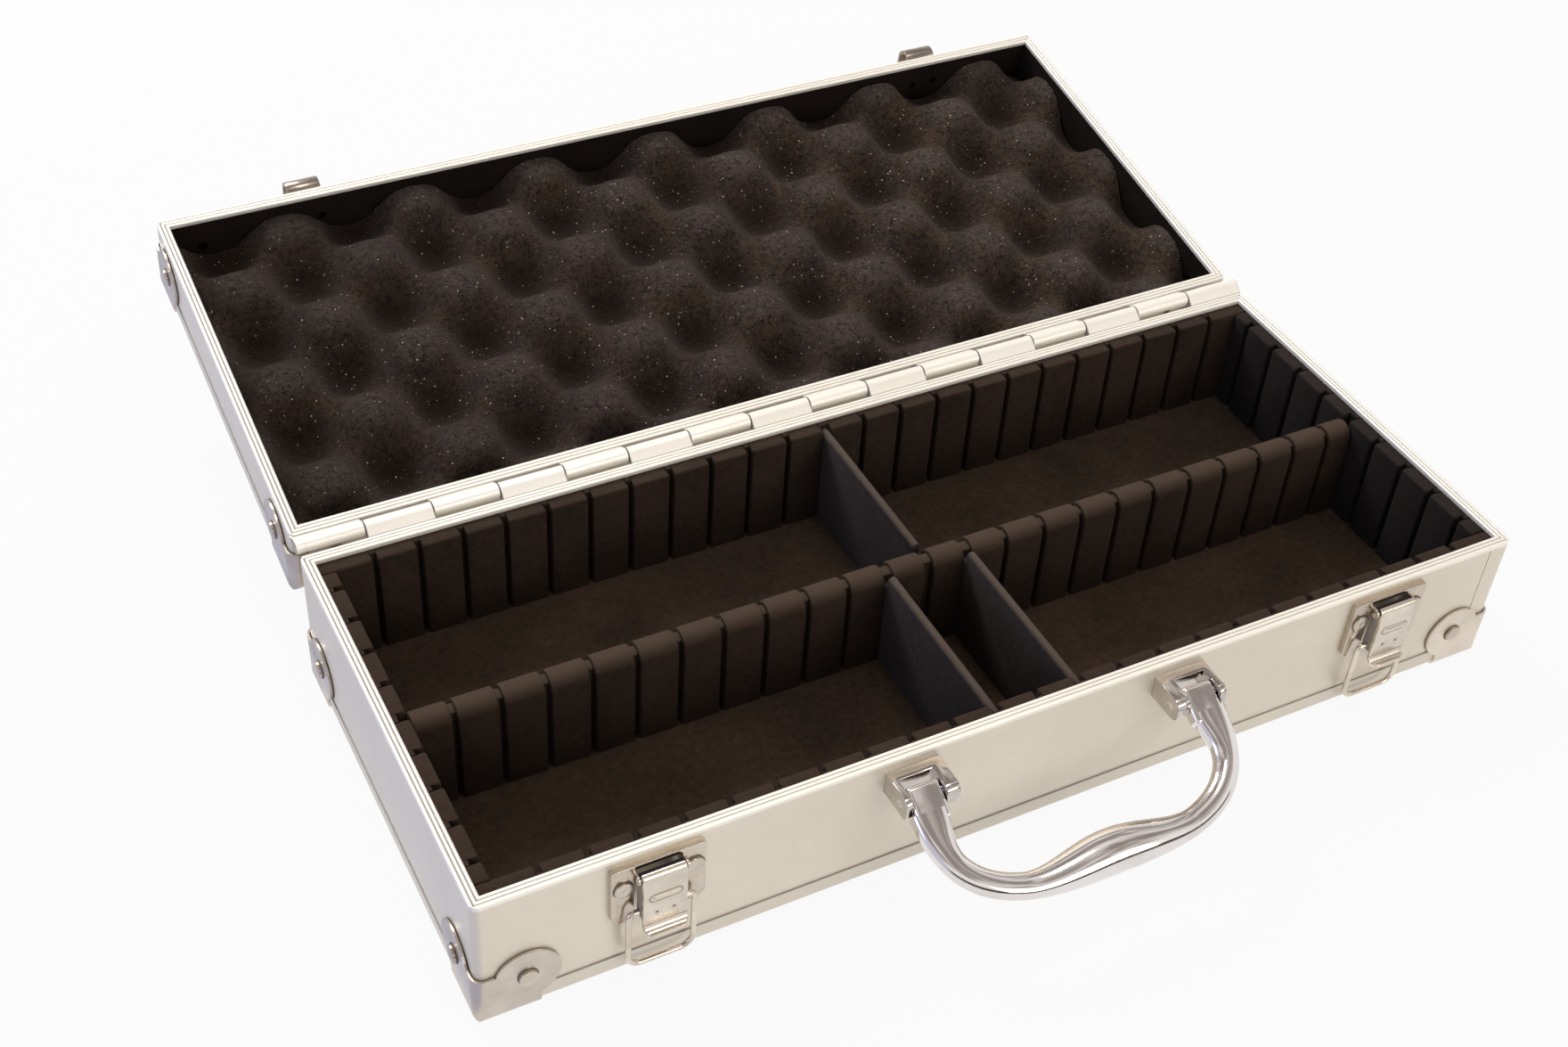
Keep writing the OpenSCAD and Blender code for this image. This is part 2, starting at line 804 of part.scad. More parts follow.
module handle_bracket(side) {
  color(chrome) at_bracket(side) mirror([side < 0 ? 1 : 0, 0, 0]) bracket();
}

module handle_pin(side) {
  color(chrome) at_bracket(side) translate([0, -handle_pin_out, handle_pin_z])
    mirror([side < 0 ? 1 : 0, 0, 0]) rotate([0, 90, 0])
      translate([0, 0, -ear_inner / 2 - inner_ear + 2 * touch])
        cylinder(d = handle_pin_d, h = ear_inner + inner_ear + outer_ear - 4 * touch);
}

// The handle's outer edge: a superellipse, by angle from the right-hand pivot
function arch(angle) =
  let(a = handle_half + arm_out, c = abs(cos(angle)) / a, s = abs(sin(angle)) / handle_reach)
  pow(pow(c, arch_power) + pow(s, arch_power), -1 / arch_power) * [cos(angle), sin(angle)];

// Unit normal of the outer edge, pointing inwards
function arch_inward(angle) =
  let(d = arch(angle + 0.5) - arch(angle - 0.5), n = [-d[1], d[0]])
  n / norm(n);

// A rise from 0 to 1 and back over the grip, by distance from the middle
function grip_share(x) = abs(x) < grip_half ? (1 + cos(180 * x / grip_half)) / 2 : 0;

// A share that falls from 1 at the arms' tops to 0 a little way down them
function root_share(y) =
  let(share = min(1, max(0, y - arm_start) / (root_run - arm_start)))
  (1 + cos(180 * share)) / 2;

function blend(base, grip, root, p) =
  base + (grip - base) * pow(grip_share(p[0]), 0.75) + (root - base) * root_share(p[1]);

// A point of a round section, squared up by a share
function boxed(turn, share) =
  [for (c = [cos(turn), sin(turn)]) sign(c) * pow(abs(c), 1 - corner_push * share)];

// One ring of the handle's skin: across the plane of the handle and through it
function handle_ring(angle, is_end) =
  let(
    edge = arch(angle),
    inward = arch_inward(angle),
    w = blend(arm_w, grip_w, root_w, edge),
    t = blend(arm_t, grip_t, root_t, edge),
    middle = edge + inward * w / 2,
    share = root_share(edge[1])
  )
  [for (k = [0 : sweep_sides - 1])
    let(q = boxed(360 * k / sweep_sides, share), p = middle - inward * w / 2 * q[0])
    [p[0], t / 2 * q[1], -(is_end ? arm_start : max(arm_start, p[1]))]];

module handle_sweep() {
  start = atan(arm_start / (handle_half + arm_out));
  turn = (180 - 2 * start) / sweep_steps;
  rings = [for (i = [0 : sweep_steps]) handle_ring(start + turn * i, i % sweep_steps == 0)];
  n = sweep_sides;
  points = [for (ring = rings, p = ring) p];
  sides = [for (i = [0 : sweep_steps - 1], k = [0 : n - 1], half = [0, 1])
    let(a = i * n + k, b = i * n + (k + 1) % n)
    half == 0 ? [a, b, b + n] : [a, b + n, a + n]];
  first = [for (k = [n - 1 : -1 : 0]) k];
  last = [for (k = [0 : n - 1]) sweep_steps * n + k];
  polyhedron(points, concat(sides, [first, last]));
}

// The square end of an arm, which turns on the pin between the bracket's ears
module handle_eye() {
  run = eye_top + arm_start + 2 * eye_round;
  translate([0, 0, eye_top - run / 2]) along_x(eye_w) rounded_rect(eye_t, run, eye_round);
}

module handle() {
  color(chrome) translate([fittings_x, -case_d / 2 - handle_pin_out, handle_pin_z])
    rotate([-handle_angle, 0, 0]) difference() {
      union() {
        handle_sweep();
        for (x = [-1, 1]) translate([x * handle_half, 0, 0]) handle_eye();
      }
      for (x = [-1, 1]) translate([x * handle_half, 0, 0]) rotate([0, 90, 0])
        cylinder(d = handle_pin_d + touch, h = 2 * eye_w, center = true);
    }
}

// Lid

module lid_edge() {
  color(bright_aluminium) on_open_lid() shell_edge();
}

module lid_top() {
  color(bare_aluminium) on_open_lid() shell_panel(lid_panel_t);
}

module lid_core() {
  color(board_black) on_open_lid() difference() {
    shell_core(lid_floor_z, lid_h);
    lid_wall_bores();
  }
}

module lid_skin() {
  color(bare_aluminium) on_open_lid() difference() {
    shell_skin(lid_h);
    lid_wall_bores();
  }
}

// Bores for the strikes' rivets, with heights counted down from the lid's rim
module lid_wall_bores() {
  for (side = [-1, 1], x = [-1, 1])
    at_latch(side)
      wall_cylinder(strike_rivet_d + 2 * touch, x * strike_rivet_x, lid_h - strike_rivet_z, -8, 1);
}

module lid_rim(side) {
  color(bright_aluminium) on_open_lid() rim_rail(side, lid_h);
}

module lid_rim_back() {
  lid_rim(2);
  color(bright_aluminium) on_open_lid() knuckles(0, lid_h, hinge_pin_d + touch);
}

module lid_cap(sx, sy) {
  color(nickel) on_open_lid() shell_cap(sx, sy);
}

module lid_cap_rivets() {
  color(nickel) on_open_lid() shell_rivets(lid_panel_t);
}

module lid_lining() {
  color(board_black) on_open_lid() translate([0, 0, lid_floor_z]) linear_extrude(lining_t)
    square([inner_w - 2 * touch, inner_d - 2 * touch], center = true);
}

// Height of the egg-crate foam in the lid's own frame, by place
function foam_z(x, y) =
  let(
    from_hinge = case_d / 2 - y - foam_skew * (x - first_peak_x),
    wave = cos(180 * (x - first_peak_x) / wave_x) * cos(180 * (from_hinge - first_peak_y) / wave_y)
  )
  lid_h - (peak_depth + hollow_depth) / 2 + (hollow_depth - peak_depth) / 2 * wave;

module lid_foam() {
  w = inner_w - 2 * foam_margin;
  d = inner_d - 2 * foam_margin;
  nx = foam_cells_x;
  ny = foam_cells_y;
  row = nx + 1;
  low = lid_floor_z + lining_t;
  top = [for (j = [0 : ny], i = [0 : nx])
    let(x = -w / 2 + w * i / nx, y = -d / 2 + d * j / ny)
    [x, y, foam_z(x, y)]];
  cells = [for (j = [0 : ny - 1], i = [0 : nx - 1], half = [0, 1])
    let(a = j * row + i)
    half == 0 ? [a, a + row, a + row + 1] : [a, a + row + 1, a + 1]];
  border = concat([for (i = [0 : nx - 1]) i], [for (j = [0 : ny - 1]) j * row + nx],
                  [for (i = [nx : -1 : 1]) ny * row + i], [for (j = [ny : -1 : 1]) j * row]);
  n = len(border);
  foot = len(top);
  feet = [for (b = border) [top[b][0], top[b][1], low]];
  walls = [for (k = [0 : n - 1], half = [0, 1])
    let(next = (k + 1) % n)
    half == 0 ? [border[k], border[next], foot + next] : [border[k], foot + next, foot + k]];
  bottom = [for (k = [0 : n - 1]) [foot + k, foot + (k + 1) % n, foot + n]];
  color(black_foam) on_open_lid()
    polyhedron(concat(top, feet, [[0, 0, low]]), concat(cells, walls, bottom));
}

// Side view of a strike's hook: a half round that curls out and away from the rim, and its lip
module hook_profile() {
  translate([hook_r, lid_h - hook_z]) intersection() {
    difference() {
      circle(hook_r);
      circle(hook_r - strike_t);
    }
    translate([-hook_r, 0]) square([2 * hook_r, hook_r]);
  }
  translate([0, lid_h - hook_z - 1]) square([strike_t, 1]);
  translate([strike_reach - strike_t, lid_h - hook_z - hook_lip]) square([strike_t, hook_lip]);
}

module strike(side) {
  color(nickel) on_open_lid() at_latch(side) difference() {
    union() {
      side_view(hook_w) hook_profile();
      out_of_wall(0, strike_t)
        rounded_box(-strike_w / 2, lid_h - strike_top, strike_w / 2, lid_h - hook_z - 1, plate_round);
    }
    for (x = [-1, 1])
      wall_cylinder(strike_rivet_d + 2 * touch, x * strike_rivet_x, lid_h - strike_rivet_z, -1, 3);
  }
}

module strike_rivets() {
  color(nickel) on_open_lid() for (side = [-1, 1], x = [-1, 1]) at_latch(side) {
    wall_cylinder(strike_rivet_d, x * strike_rivet_x, lid_h - strike_rivet_z, -rim_w, strike_t);
    wall_cylinder(strike_head_d, x * strike_rivet_x, lid_h - strike_rivet_z, strike_t, strike_t + 0.7);
  }
}

base_edge();
base_bottom();
base_core();
base_skin();
base_rim_front();
base_rim(1);  // base_rim_right
base_rim_back();
base_rim(3);  // base_rim_left
base_cap(-1, -1);  // base_cap_front_left
base_cap(1, -1);  // base_cap_front_right
base_cap(-1, 1);  // base_cap_back_left
base_cap(1, 1);  // base_cap_back_right
base_cap_rivets();
hinge_pin();
floor_mat();
liner_along(-1);  // liner_front
liner_along(1);  // liner_back
liner_across(-1);  // liner_left
liner_across(1);  // liner_right
centre_divider();
cross_divider(11, 1);  // cross_divider_back
cross_divider(10, -1);  // cross_divider_front_left
cross_divider(12, -1);  // cross_divider_front_right
latch_plate(-1);  // latch_plate_left
latch_plate(1);  // latch_plate_right
latch_rivets();
lever_pin(-1);  // lever_pin_left
lever_pin(1);  // lever_pin_right
lever(-1);  // lever_left
lever(1);  // lever_right
bail(-1);  // bail_left
bail(1);  // bail_right
handle_bracket(-1);  // handle_bracket_left
handle_bracket(1);  // handle_bracket_right
handle_pin(-1);  // handle_pin_left
handle_pin(1);  // handle_pin_right
handle();
lid_edge();
lid_top();
lid_core();
lid_skin();
lid_rim(0);  // lid_rim_front
lid_rim(1);  // lid_rim_right
lid_rim_back();
lid_rim(3);  // lid_rim_left
lid_cap(-1, -1);  // lid_cap_front_left
lid_cap(1, -1);  // lid_cap_front_right
lid_cap(-1, 1);  // lid_cap_back_left
lid_cap(1, 1);  // lid_cap_back_right
lid_cap_rivets();
lid_lining();
lid_foam();
strike(-1);  // strike_left
strike(1);  // strike_right
strike_rivets();
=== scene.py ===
"""An aluminium framed carrying case, open, with an egg-crate foam lid and a slotted foam tray."""
import logging
import math
from dataclasses import dataclass, replace
from enum import Enum
from typing import Any, Iterable, Optional, Sequence, Union

import bmesh
import bpy
import numpy as np
from mathutils import Matrix, Vector, noise


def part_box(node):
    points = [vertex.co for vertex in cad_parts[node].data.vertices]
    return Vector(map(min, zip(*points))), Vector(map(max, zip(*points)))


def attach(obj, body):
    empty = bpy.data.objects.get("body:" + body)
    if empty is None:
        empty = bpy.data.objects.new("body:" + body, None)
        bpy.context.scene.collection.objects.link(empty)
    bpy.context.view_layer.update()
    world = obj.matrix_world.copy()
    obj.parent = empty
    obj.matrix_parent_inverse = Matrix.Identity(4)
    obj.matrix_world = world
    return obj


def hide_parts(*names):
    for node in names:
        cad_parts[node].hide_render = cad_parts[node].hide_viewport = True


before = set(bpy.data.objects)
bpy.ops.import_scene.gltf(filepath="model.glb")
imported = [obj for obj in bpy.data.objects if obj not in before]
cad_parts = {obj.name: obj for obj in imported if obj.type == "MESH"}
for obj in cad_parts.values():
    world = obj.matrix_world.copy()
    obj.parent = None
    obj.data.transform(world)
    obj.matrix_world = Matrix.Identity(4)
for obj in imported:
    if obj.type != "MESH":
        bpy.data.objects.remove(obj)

log = logging.getLogger("case")
MM = 0.001
Pair = tuple[float, float]
Point = tuple[float, float, float]
Colour = tuple[float, float, float]


def srgb(red: float, green: float, blue: float) -> Colour:
    """The linear colour of an 8-bit screen colour.

    Args:
        red, green, blue: the screen's values, from 0 to 255.

    Returns:
        The three linear values, from 0 to 1.
    """
    shares = (value / 255 for value in (red, green, blue))
    return tuple(s / 12.92 if s <= 0.04045 else ((s + 0.055) / 1.055) ** 2.4 for s in shares)


class Slot(Enum):
    """Names of the record's material slots."""

    EGG_CRATE = "egg_crate_foam"
    TRAY = "eva_foam"
    CHROME = "chrome_casting"
    NICKEL = "nickel_steel"


class Sock:
    """A socket of a shader graph, on which arithmetic adds Math nodes."""

    def __init__(self, graph: "Graph", socket: bpy.types.NodeSocket) -> None:
        """Keep the graph and the socket."""
        self.graph, self.socket = graph, socket

    def _math(self, operation: str, *terms: "Value") -> "Sock":
        """The result of one Math node."""
        values = dict(enumerate(terms))
        return self.graph.add("ShaderNodeMath", {"operation": operation}, values)["Value"]

    def __add__(self, other: "Value") -> "Sock":
        """Sum."""
        return self._math("ADD", self, other)

    __radd__ = __add__

    def __mul__(self, other: "Value") -> "Sock":
        """Product."""
        return self._math("MULTIPLY", self, other)

    __rmul__ = __mul__

    def __sub__(self, other: "Value") -> "Sock":
        """Difference."""
        return self._math("SUBTRACT", self, other)

    def __rsub__(self, other: "Value") -> "Sock":
        """Difference from a number."""
        return self._math("SUBTRACT", other, self)

    def __truediv__(self, other: "Value") -> "Sock":
        """Quotient."""
        return self._math("DIVIDE", self, other)

    def __pow__(self, other: "Value") -> "Sock":
        """Power."""
        return self._math("POWER", self, other)

    def __gt__(self, other: "Value") -> "Sock":
        """1 where it is greater, and 0 elsewhere."""
        return self._math("GREATER_THAN", self, other)

    def __abs__(self) -> "Sock":
        """The size of this value, without its sign."""
        return self._math("ABSOLUTE", self)

    def fraction(self) -> "Sock":
        """What is left of this value above the whole number below it."""
        return self._math("FRACT", self)

    def upto(self, other: "Value") -> "Sock":
        """The smaller of the two."""
        return self._math("MINIMUM", self, other)


Value = Union[Sock, float]


class Made:
    """A node that was just made, whose outputs are read by name."""

    def __init__(self, graph: "Graph", node: bpy.types.Node) -> None:
        """Keep the graph and the node."""
        self.graph, self.node = graph, node

    def __getitem__(self, name: str) -> Sock:
        """The enabled output of that name."""
        return Sock(self.graph, next(s for s in self.node.outputs if s.name == name and s.enabled))


@dataclass(frozen=True)
class Ruler:
    """A direction in which places are measured, and what is added to the measure, in metres."""

    way: Point
    shift: float = 0.0


class Graph:
    """The node tree of a material or of the world."""

    def __init__(self, owner: Union[bpy.types.Material, bpy.types.World]) -> None:
        """Start from an empty tree.

        Args:
            owner: the material or the world.
        """
        owner.use_nodes = True
        self.tree = owner.node_tree
        self.tree.nodes.clear()

    def add(self, kind: str, settings: Optional[dict[str, Any]] = None,
            inputs: Optional[dict[Union[str, int], Any]] = None) -> Made:
        """Add a node.

        Args:
            kind: the node's type.
            settings: its properties, which are set first.
            inputs: a number, colour, vector or Sock for each socket, by name or place.

        Returns:
            The node, ready for its outputs to be read.
        """
        node = self.tree.nodes.new(kind)
        for name, value in (settings or {}).items():
            setattr(node, name, value)
        for key, value in (inputs or {}).items():
            socket = self._input(node, key)
            if isinstance(value, Sock):
                self.tree.links.new(value.socket, socket)
            elif isinstance(value, tuple) and len(value) == 3 and socket.type == "RGBA":
                socket.default_value = (*value, 1.0)
            else:
                socket.default_value = value
        return Made(self, node)

    @staticmethod
    def _input(node: bpy.types.Node, key: Union[str, int]) -> bpy.types.NodeSocket:
        """The input at that place, or the enabled input of that name."""
        return (node.inputs[key] if isinstance(key, int)
                else next(s for s in node.inputs if s.name == key and s.enabled))

    def coords(self) -> Sock:
        """The piece's own coordinates, in metres."""
        return self.add("ShaderNodeTexCoord")["Object"]

    def along(self, ruler: Ruler) -> Sock:
        """A point's place on a ruler, in metres."""
        return self.add("ShaderNodeVectorMath", {"operation": "DOT_PRODUCT"},
                        {0: self.coords(), 1: ruler.way})["Value"] + ruler.shift

    def part(self, vector: Sock, axis: str) -> Sock:
        """One part of a vector, by its axis: X, Y or Z."""
        return self.add("ShaderNodeSeparateXYZ", None, {"Vector": vector})[axis]

    def kept(self, name: str) -> Sock:
        """The value that the piece's points keep under a name."""
        return self.add("ShaderNodeAttribute", {"attribute_name": name})["Fac"]

    def noise(self, scale: float, detail: float, rough: float,
              stretch: Optional[Point] = None) -> Sock:
        """Smooth noise from 0 to 1.

        Args:
            scale: how many of its waves fit in a metre.
            detail: how many finer layers lie over it.
            rough: how strong the finer layers are.
            stretch: a factor on each axis, for grain that runs one way.

        Returns:
            The noise's value.
        """
        place = self.coords()
        if stretch is not None:
            place = self.add("ShaderNodeVectorMath", {"operation": "MULTIPLY"},
                             {0: place, 1: stretch})["Vector"]
        return self.add("ShaderNodeTexNoise", None, {
            "Vector": place, "Scale": scale, "Detail": detail, "Roughness": rough})["Fac"]

    def cells(self, scale: float, feature: str = "F1") -> Made:
        """Cellular noise, with Distance and Color outputs."""
        return self.add("ShaderNodeTexVoronoi", {"feature": feature},
                        {"Vector": self.coords(), "Scale": scale})

    def mixed(self, share: Value, low: Union[Sock, Colour], high: Union[Sock, Colour]) -> Sock:
        """The colour between two colours."""
        return self.add("ShaderNodeMix", {"data_type": "RGBA"},
                        {"Factor": share, "A": low, "B": high})["Result"]

    def ranged(self, value: Value, low: float, high: float,
               start: float = 0.0, end: float = 1.0) -> Sock:
        """A value moved from one range to another, and kept inside it."""
        return self.add("ShaderNodeMapRange", {"clamp": True}, {
            "Value": value, "From Min": low, "From Max": high,
            "To Min": start, "To Max": end})["Result"]

    def line(self, off: Sock, core: float, edge: float, strength: float) -> Sock:
        """A drawn line, from its strength within its core to nothing at its edge, by distance."""
        return self.ranged(off, core, edge, strength, 0.0)

    def bump(self, height: Sock, depth: float, strength: float) -> Sock:
        """The normal of a surface with that relief, its depth in metres."""
        return self.add("ShaderNodeBump", None, {
            "Strength": strength, "Distance": depth, "Height": height})["Normal"]

    def glow(self, colour: Union[Sock, Colour]) -> Sock:
        """Light of a colour, at a strength of 1."""
        return self.add("ShaderNodeEmission", None, {"Color": colour, "Strength": 1.0})["Emission"]

    def show(self, shader: Sock, kind: str = "ShaderNodeOutputMaterial") -> None:
        """End the graph in a shader."""
        self.add(kind, None, {"Surface": shader})

    def principled(self, **inputs: Any) -> None:
        """End the material in a Principled shader.

        Args:
            inputs: its sockets, with underscores for the spaces of their names.
        """
        named = {key.replace("_", " "): value for key, value in inputs.items()}
        self.show(self.add("ShaderNodeBsdfPrincipled", None, named)["BSDF"])


class Finish:
    """A finish that several pieces share, as one material."""

    name: str
    _made: dict[str, bpy.types.Material] = {}

    def build(self, graph: Graph) -> None:
        """Fill the material's node tree."""
        raise NotImplementedError

    def material(self) -> bpy.types.Material:
        """The finish's material, made on its first use."""
        if self.name not in Finish._made:
            Finish._made[self.name] = bpy.data.materials.new(self.name)
            self.build(Graph(Finish._made[self.name]))
        return Finish._made[self.name]


@dataclass(frozen=True)
class SatinAluminium(Finish):
    """Anodised aluminium with a fine grain that runs one way, and darker lines where parts meet,
    with painted shade in the gaps round the hinge's knuckles.

    The ruler measures from the outer face to an edging's free end, or from the shell's middle to
    a rim's outer edge. The pitch is that of the hinge's knuckles.
    """

    name: str
    colour: Colour
    stain: Colour
    grain: Point
    rough: float
    metal: float
    relief: float = 0.5
    ruler: Ruler = Ruler((0.0, 0.0, 1.0))
    free_end: float = 0.0
    rim_half: float = 0.0
    pitch: float = 0.0
    grooves: Pair = (1.46 * MM, 2.94 * MM)
    end_line_colour: Colour = srgb(158, 148, 139)
    rim_line_colour: Colour = srgb(156, 149, 141)

    def end_line(self, graph: Graph) -> Sock:
        """How strong the darker line is at an edging's free end."""
        return graph.ranged(graph.along(self.ruler),
                            self.free_end - 0.45 * MM, self.free_end - 0.25 * MM)

    def rim_lines(self, graph: Graph) -> Sock:
        """Darker lines in a rim's grooves and, where it has a pitch, painted shade in the gaps
        round the hinge's knuckles.

        Args:
            graph: the material's graph.

        Returns:
            How strong the lines are.
        """
        inward = self.rim_half - abs(graph.along(self.ruler))
        first, second = (graph.line(abs(inward - place), 0.1 * MM, 0.34 * MM, 0.55)
                         for place in self.grooves)
        lines = first + second
        if self.pitch:
            # Painted shade in the gaps at the knuckles' ends and along the rim's outer edge beside
            # them.
            phase = abs((graph.along(Ruler((1.0, 0.0, 0.0))) / self.pitch).fraction() - 0.5)
            ends = graph.line((0.5 - phase) * self.pitch, 0.22 * MM, 0.5 * MM, 0.9)
            wall = graph.line(abs(inward + 0.15 * MM), 0.1 * MM, 0.4 * MM, 0.65)
            lines = (lines + ends * (1.0 - (inward > -0.3 * MM)) + wall).upto(1.0)
        return lines

    def build(self, graph: Graph) -> None:
        """Hairlines, cloudy stains, faint handling marks and the darker lines.

        Args:
            graph: the material's graph.
        """
        hair = graph.noise(2600.0, 3.0, 0.6, self.grain)
        cloud = graph.noise(9.0, 4.0, 0.6)
        marks = graph.noise(160.0, 5.0, 0.75)
        stained = cloud + (hair - 0.5) * (0.5 * self.relief) + (marks - 0.5) * 0.3
        colour = graph.mixed(graph.ranged(stained, 0.35, 0.85), self.colour, self.stain)
        metal: Value = self.metal
        if self.free_end or self.rim_half:
            # The lines take their own darker colour and lose the metal's shine.
            line = self.end_line(graph) if self.free_end else self.rim_lines(graph)
            colour = graph.mixed(line, colour, self.end_line_colour if self.free_end else self.rim_line_colour)
            metal = (1.0 - line) * self.metal
        rough = graph.ranged(cloud + hair * 0.5, 0.3, 1.1, self.rough - 0.07, self.rough + 0.1)
        graph.principled(
            Base_Color=colour,
            Metallic=metal,
            Roughness=rough,
            Normal=graph.bump(hair * 0.6 + marks * 0.4, 0.00004, self.relief))


@dataclass(frozen=True)
class PlatedSteel(Finish):
    """Nickel plated pressed steel."""

    name: str = "nickel_plate"
    colour: Colour = srgb(224, 213, 198)
    dark: Colour = srgb(190, 178, 163)
    rough: float = 0.15

    def build(self, graph: Graph) -> None:
        """Soft clouds in the plating, fine scratches and a slight ripple from the press.

        Args:
            graph: the material's graph.
        """
        cloud = graph.noise(60.0, 4.0, 0.6)
        scratch = graph.noise(900.0, 2.0, 0.6, (0.25, 1.0, 3.0))
        ripple = graph.noise(130.0, 1.0, 0.4)
        worn = graph.ranged(cloud + scratch * 0.2, 0.45, 0.85)
        rough = graph.ranged(cloud * scratch, 0.1, 0.45, self.rough - 0.05, self.rough + 0.13)
        graph.principled(
            Base_Color=graph.mixed(worn, self.colour, self.dark),
            Metallic=1.0,
            Roughness=rough,
            Normal=graph.bump(ripple + scratch * 0.06, 0.00025, 0.35))


@dataclass(frozen=True)
class ShadedSteel(Finish):
    """Nickel plated steel that is darkened by the shade of its points: painted shade in hollows and
    gaps, with some dirt.
    """

    name: str = "lever_nickel"
    colour: Colour = srgb(226, 216, 202)
    dark: Colour = srgb(196, 185, 171)
    dirt_and_shade: Colour = srgb(26, 18, 22)
    # How far the darkened places lose the metal's shine.
    dark_dullness: float = 1.0
    rough: float = 0.22

    def build(self, graph: Graph) -> None:
        """Clouds and scratches as on the other plated parts, and painted shade with some dirt where
        the points' shade is high.

        Args:
            graph: the material's graph.
        """
        shade = graph.kept("shade")
        cloud = graph.noise(70.0, 4.0, 0.6)
        scratch = graph.noise(1100.0, 2.0, 0.6, (0.25, 1.0, 3.0))
        worn = graph.ranged(cloud + scratch * 0.25, 0.45, 0.9)
        darkened = graph.ranged(shade + (cloud - 0.5) * 0.2, 0.05, 0.95)
        graph.principled(
            Base_Color=graph.mixed(darkened, graph.mixed(worn, self.colour, self.dark), self.dirt_and_shade),
            Metallic=1.0 - darkened * self.dark_dullness,
            Roughness=graph.ranged(darkened + cloud * scratch * 0.4, 0.0, 1.1, self.rough, 0.85),
            Normal=graph.bump(cloud + scratch * 0.06, 0.0002, 0.15))


@dataclass(frozen=True)
class PolishedChrome(Finish):
    """Chrome on a polished zinc casting."""

    name: str = "polished_chrome"
    colour: Colour = srgb(230, 225, 222)
    haze: Colour = srgb(212, 205, 201)

    def build(self, graph: Graph) -> None:
        """A bright skin with faint haze, wipe marks and the waves of a hand-polished casting.

        Args:
            graph: the material's graph.
        """
        haze = graph.noise(45.0, 4.0, 0.65)
        wipe = graph.noise(700.0, 2.0, 0.5, (1.0, 0.2, 1.0))
        wave = graph.noise(55.0, 1.0, 0.3)
        graph.principled(
            Base_Color=graph.mixed(graph.ranged(haze, 0.42, 0.75), self.colour, self.haze),
            Metallic=1.0,
            Roughness=graph.ranged(haze + wipe * 0.3, 0.4, 1.0, 0.07, 0.16),
            Normal=graph.bump(wave + wipe * 0.02, 0.0005, 0.3))


@dataclass(frozen=True)
class TrayFoam(Finish):
    """Dense closed-cell foam sheet, cut into boards."""

    name: str = "tray_foam"
    colour: Colour = srgb(34, 24, 18)
    light: Colour = srgb(56, 43, 34)
    fuzz: float = 0.06
    # The top colour is painted light on upward faces, in the share given next.
    top: Colour = srgb(78, 63, 52)
    painted_top_light: float = 0.2
    dust: Colour = srgb(98, 86, 77)

    def build(self, graph: Graph) -> None:
        """Fine cells, a worn nap, paler dust and painted light on upward faces.

        Args:
            graph: the material's graph.
        """
        cells = graph.cells(2300.0)["Distance"]
        nap = graph.noise(420.0, 4.0, 0.7)
        cloud = graph.noise(26.0, 3.0, 0.55)
        specks = graph.noise(1500.0, 1.0, 0.5) > 0.72
        up = graph.part(graph.add("ShaderNodeNewGeometry")["Normal"], "Z")
        worn = graph.ranged(nap + cloud * 0.8, 0.65, 1.25)
        body = graph.mixed(worn, self.colour, self.light)
        # Upward faces are lightened towards the top colour: painted light.
        tone = graph.mixed(graph.ranged(up, 0.25, 0.95, 0.0, self.painted_top_light), body, self.top)
        graph.principled(
            Base_Color=graph.mixed(specks * 0.25, tone, self.dust),
            Roughness=graph.ranged(nap, 0.3, 0.7, 0.82, 0.96),
            Specular_IOR_Level=0.08,
            Sheen_Weight=self.fuzz,
            Sheen_Roughness=0.55,
            Sheen_Tint=(0.42, 0.36, 0.33),
            Normal=graph.bump(cells * 0.5 + nap, 0.00022, 0.7))


